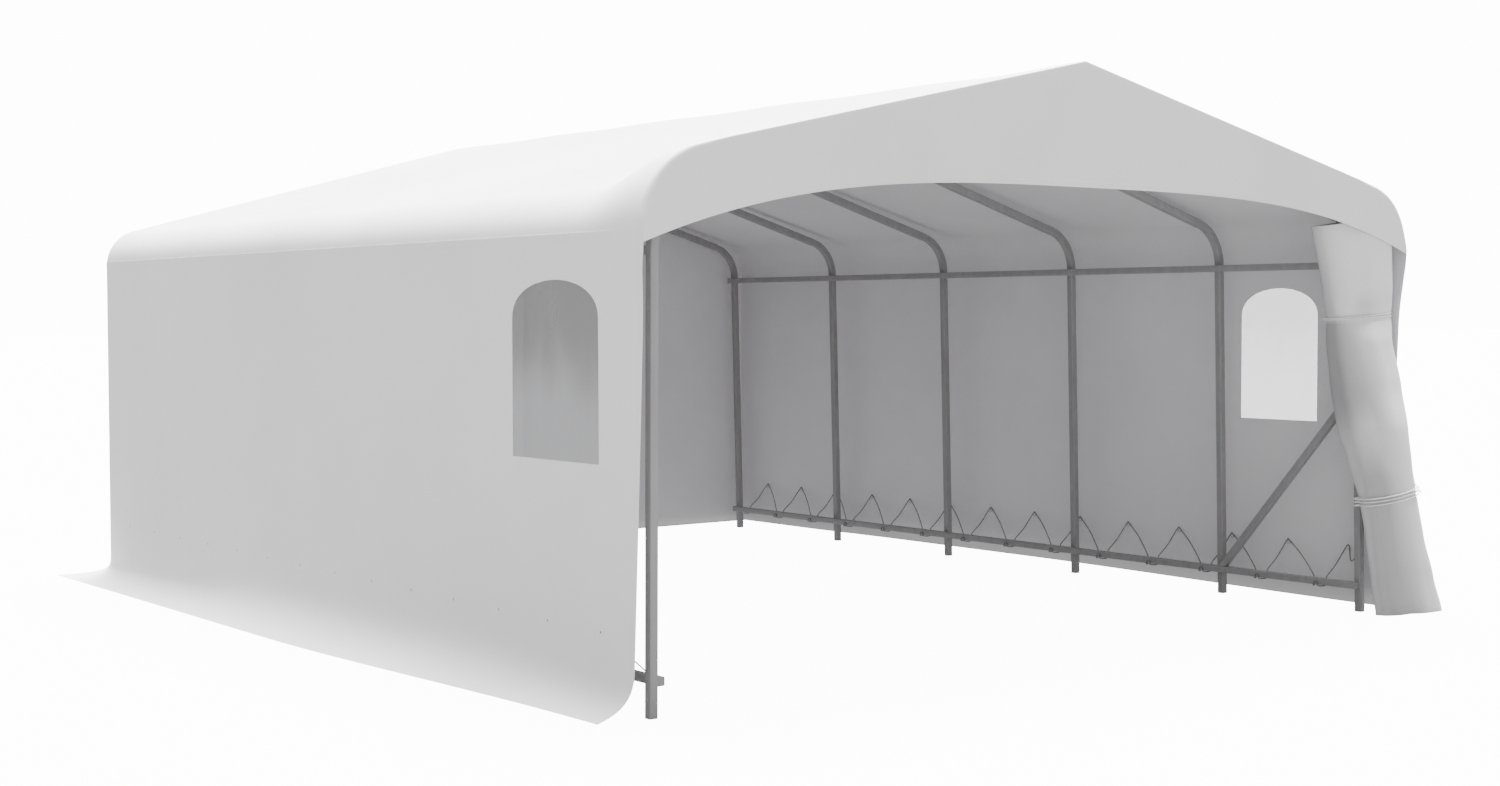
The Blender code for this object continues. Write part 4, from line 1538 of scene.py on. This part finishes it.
@dataclass(frozen=True)
class Studio:
    """Plain pale floor, soft light and the camera."""

    camera_at: Point = (-7.2678, -6.9175, 1.7022)
    yaw: float = 0.6562
    pitch: float = -0.0385
    roll: float = -0.0021
    lens: float = 47.998
    backdrop_glow: float = 13.0
    floor_size: float = 400.0
    floor_glow: float = 0.50
    inner_glow: tuple[float, float] = (0.30, 0.74)
    floor_paint: float = 0.12
    sky: float = 0.97
    sun: float = 36.0
    sun_spread: float = 36.0
    sun_tilt: tuple[float, float] = (-9.0, 12.0)
    sensor: float = 36.0
    glow_rise: tuple[float, float] = (-2.2, 2.6)
    cover_side: tuple[float, float] = (2.4, 2.6)
    cover_end: tuple[float, float] = (3.0, 3.2)
    paint_glow: float = 8.0

    def build_camera(self) -> None:
        """The camera at the viewing angle of the picture."""
        forward = Vector((
            math.sin(self.yaw) * math.cos(self.pitch),
            math.cos(self.yaw) * math.cos(self.pitch),
            math.sin(self.pitch),
        ))
        level = Vector((math.cos(self.yaw), -math.sin(self.yaw), 0.0))
        up = level.cross(forward)
        right = math.cos(self.roll) * level + math.sin(self.roll) * up
        up = right.cross(forward)
        data = bpy.data.cameras.new("camera")
        data.lens, data.sensor_width, data.sensor_fit = self.lens, self.sensor, "HORIZONTAL"
        camera = bpy.data.objects.new("camera", data)
        bpy.context.collection.objects.link(camera)
        x, y, z = self.camera_at
        axes = Matrix((right, up, -forward)).transposed().to_4x4()
        camera.matrix_world = Matrix.Translation((x, y + FOOT_LINE, z)) @ axes
        bpy.context.scene.camera = camera

    def backdrop(self, g: Graph, strength: float) -> bpy.types.Node:
        """Plain white ground in the picture, which bounces more light up under the cover's far end."""
        seen = g.node("ShaderNodeLightPath").outputs["Is Camera Ray"]
        split = g.node("ShaderNodeSeparateXYZ", None, {0: g.place()})
        across, along = Signal(g, split.outputs[0]), Signal(g, split.outputs[1])
        low, high = self.inner_glow
        inside = low + along.soft_step(*self.glow_rise) * (high - low)
        under = 1 - across.size().soft_step(*self.cover_side)
        under = under * (1 - along.size().soft_step(*self.cover_end))
        bounce = self.floor_glow + under * (inside - self.floor_glow)
        level = g.node("ShaderNodeMapRange", None, {0: seen, 3: bounce, 4: strength})
        return g.node("ShaderNodeEmission", None, {"Color": (1, 1, 1, 1), "Strength": level.outputs[0]})

    def build_floor(self) -> None:
        """A wide pale floor."""
        Bench.clear()
        bpy.ops.mesh.primitive_plane_add(size=self.floor_size, location=(0, 0, -0.0005))
        floor = bpy.context.object
        floor.name = "studio_floor"
        g = Graph("studio_floor")
        glow = self.backdrop(g, self.backdrop_glow)
        paint = g.node("ShaderNodeBsdfDiffuse", None, {"Color": (*(self.floor_paint,) * 3, 1)})
        both = g.node("ShaderNodeAddShader", None, {0: glow.outputs[0], 1: paint.outputs[0]})
        g.node("ShaderNodeOutputMaterial", None, {"Surface": both.outputs[0]})
        floor.data.materials.append(g.material)

    def build_light(self) -> None:
        """Even white surroundings and one very soft light from above."""
        world = bpy.data.worlds.new("studio")
        world.use_nodes = True
        tree = world.node_tree
        seen = tree.nodes.new("ShaderNodeLightPath").outputs["Is Camera Ray"]
        level = tree.nodes.new("ShaderNodeMapRange")
        tree.links.new(seen, level.inputs[0])
        level.inputs[3].default_value = self.sky
        level.inputs[4].default_value = self.backdrop_glow + self.floor_paint * self.paint_glow
        tree.nodes["Background"].inputs["Color"].default_value = (1, 1, 1, 1)
        tree.links.new(level.outputs[0], tree.nodes["Background"].inputs["Strength"])
        bpy.context.scene.world = world
        sun = bpy.data.lights.new("top_light", "SUN")
        sun.energy = self.sun
        sun.angle = math.radians(self.sun_spread)
        lamp = bpy.data.objects.new("top_light", sun)
        lamp.rotation_euler = (*map(math.radians, self.sun_tilt), 0)
        bpy.context.collection.objects.link(lamp)

    def build(self) -> None:
        """Builds the studio."""
        self.build_camera()
        self.build_floor()
        self.build_light()


def main() -> None:
    """Builds the shelter's looks in order."""
    logging.basicConfig(level=logging.INFO, format="%(name)s: %(message)s", stream=sys.stdout)
    Studio().build()
    dresser = Dresser()
    tubes = TubeFrame(dresser)
    tubes.build()
    Cover(dresser, tubes).build()
    DoorCurtain(dresser).build()
    Lacing(dresser, tubes).build()
    Bench.clear()
    bpy.context.view_layer.update()


if __name__ == "__main__":
    main()
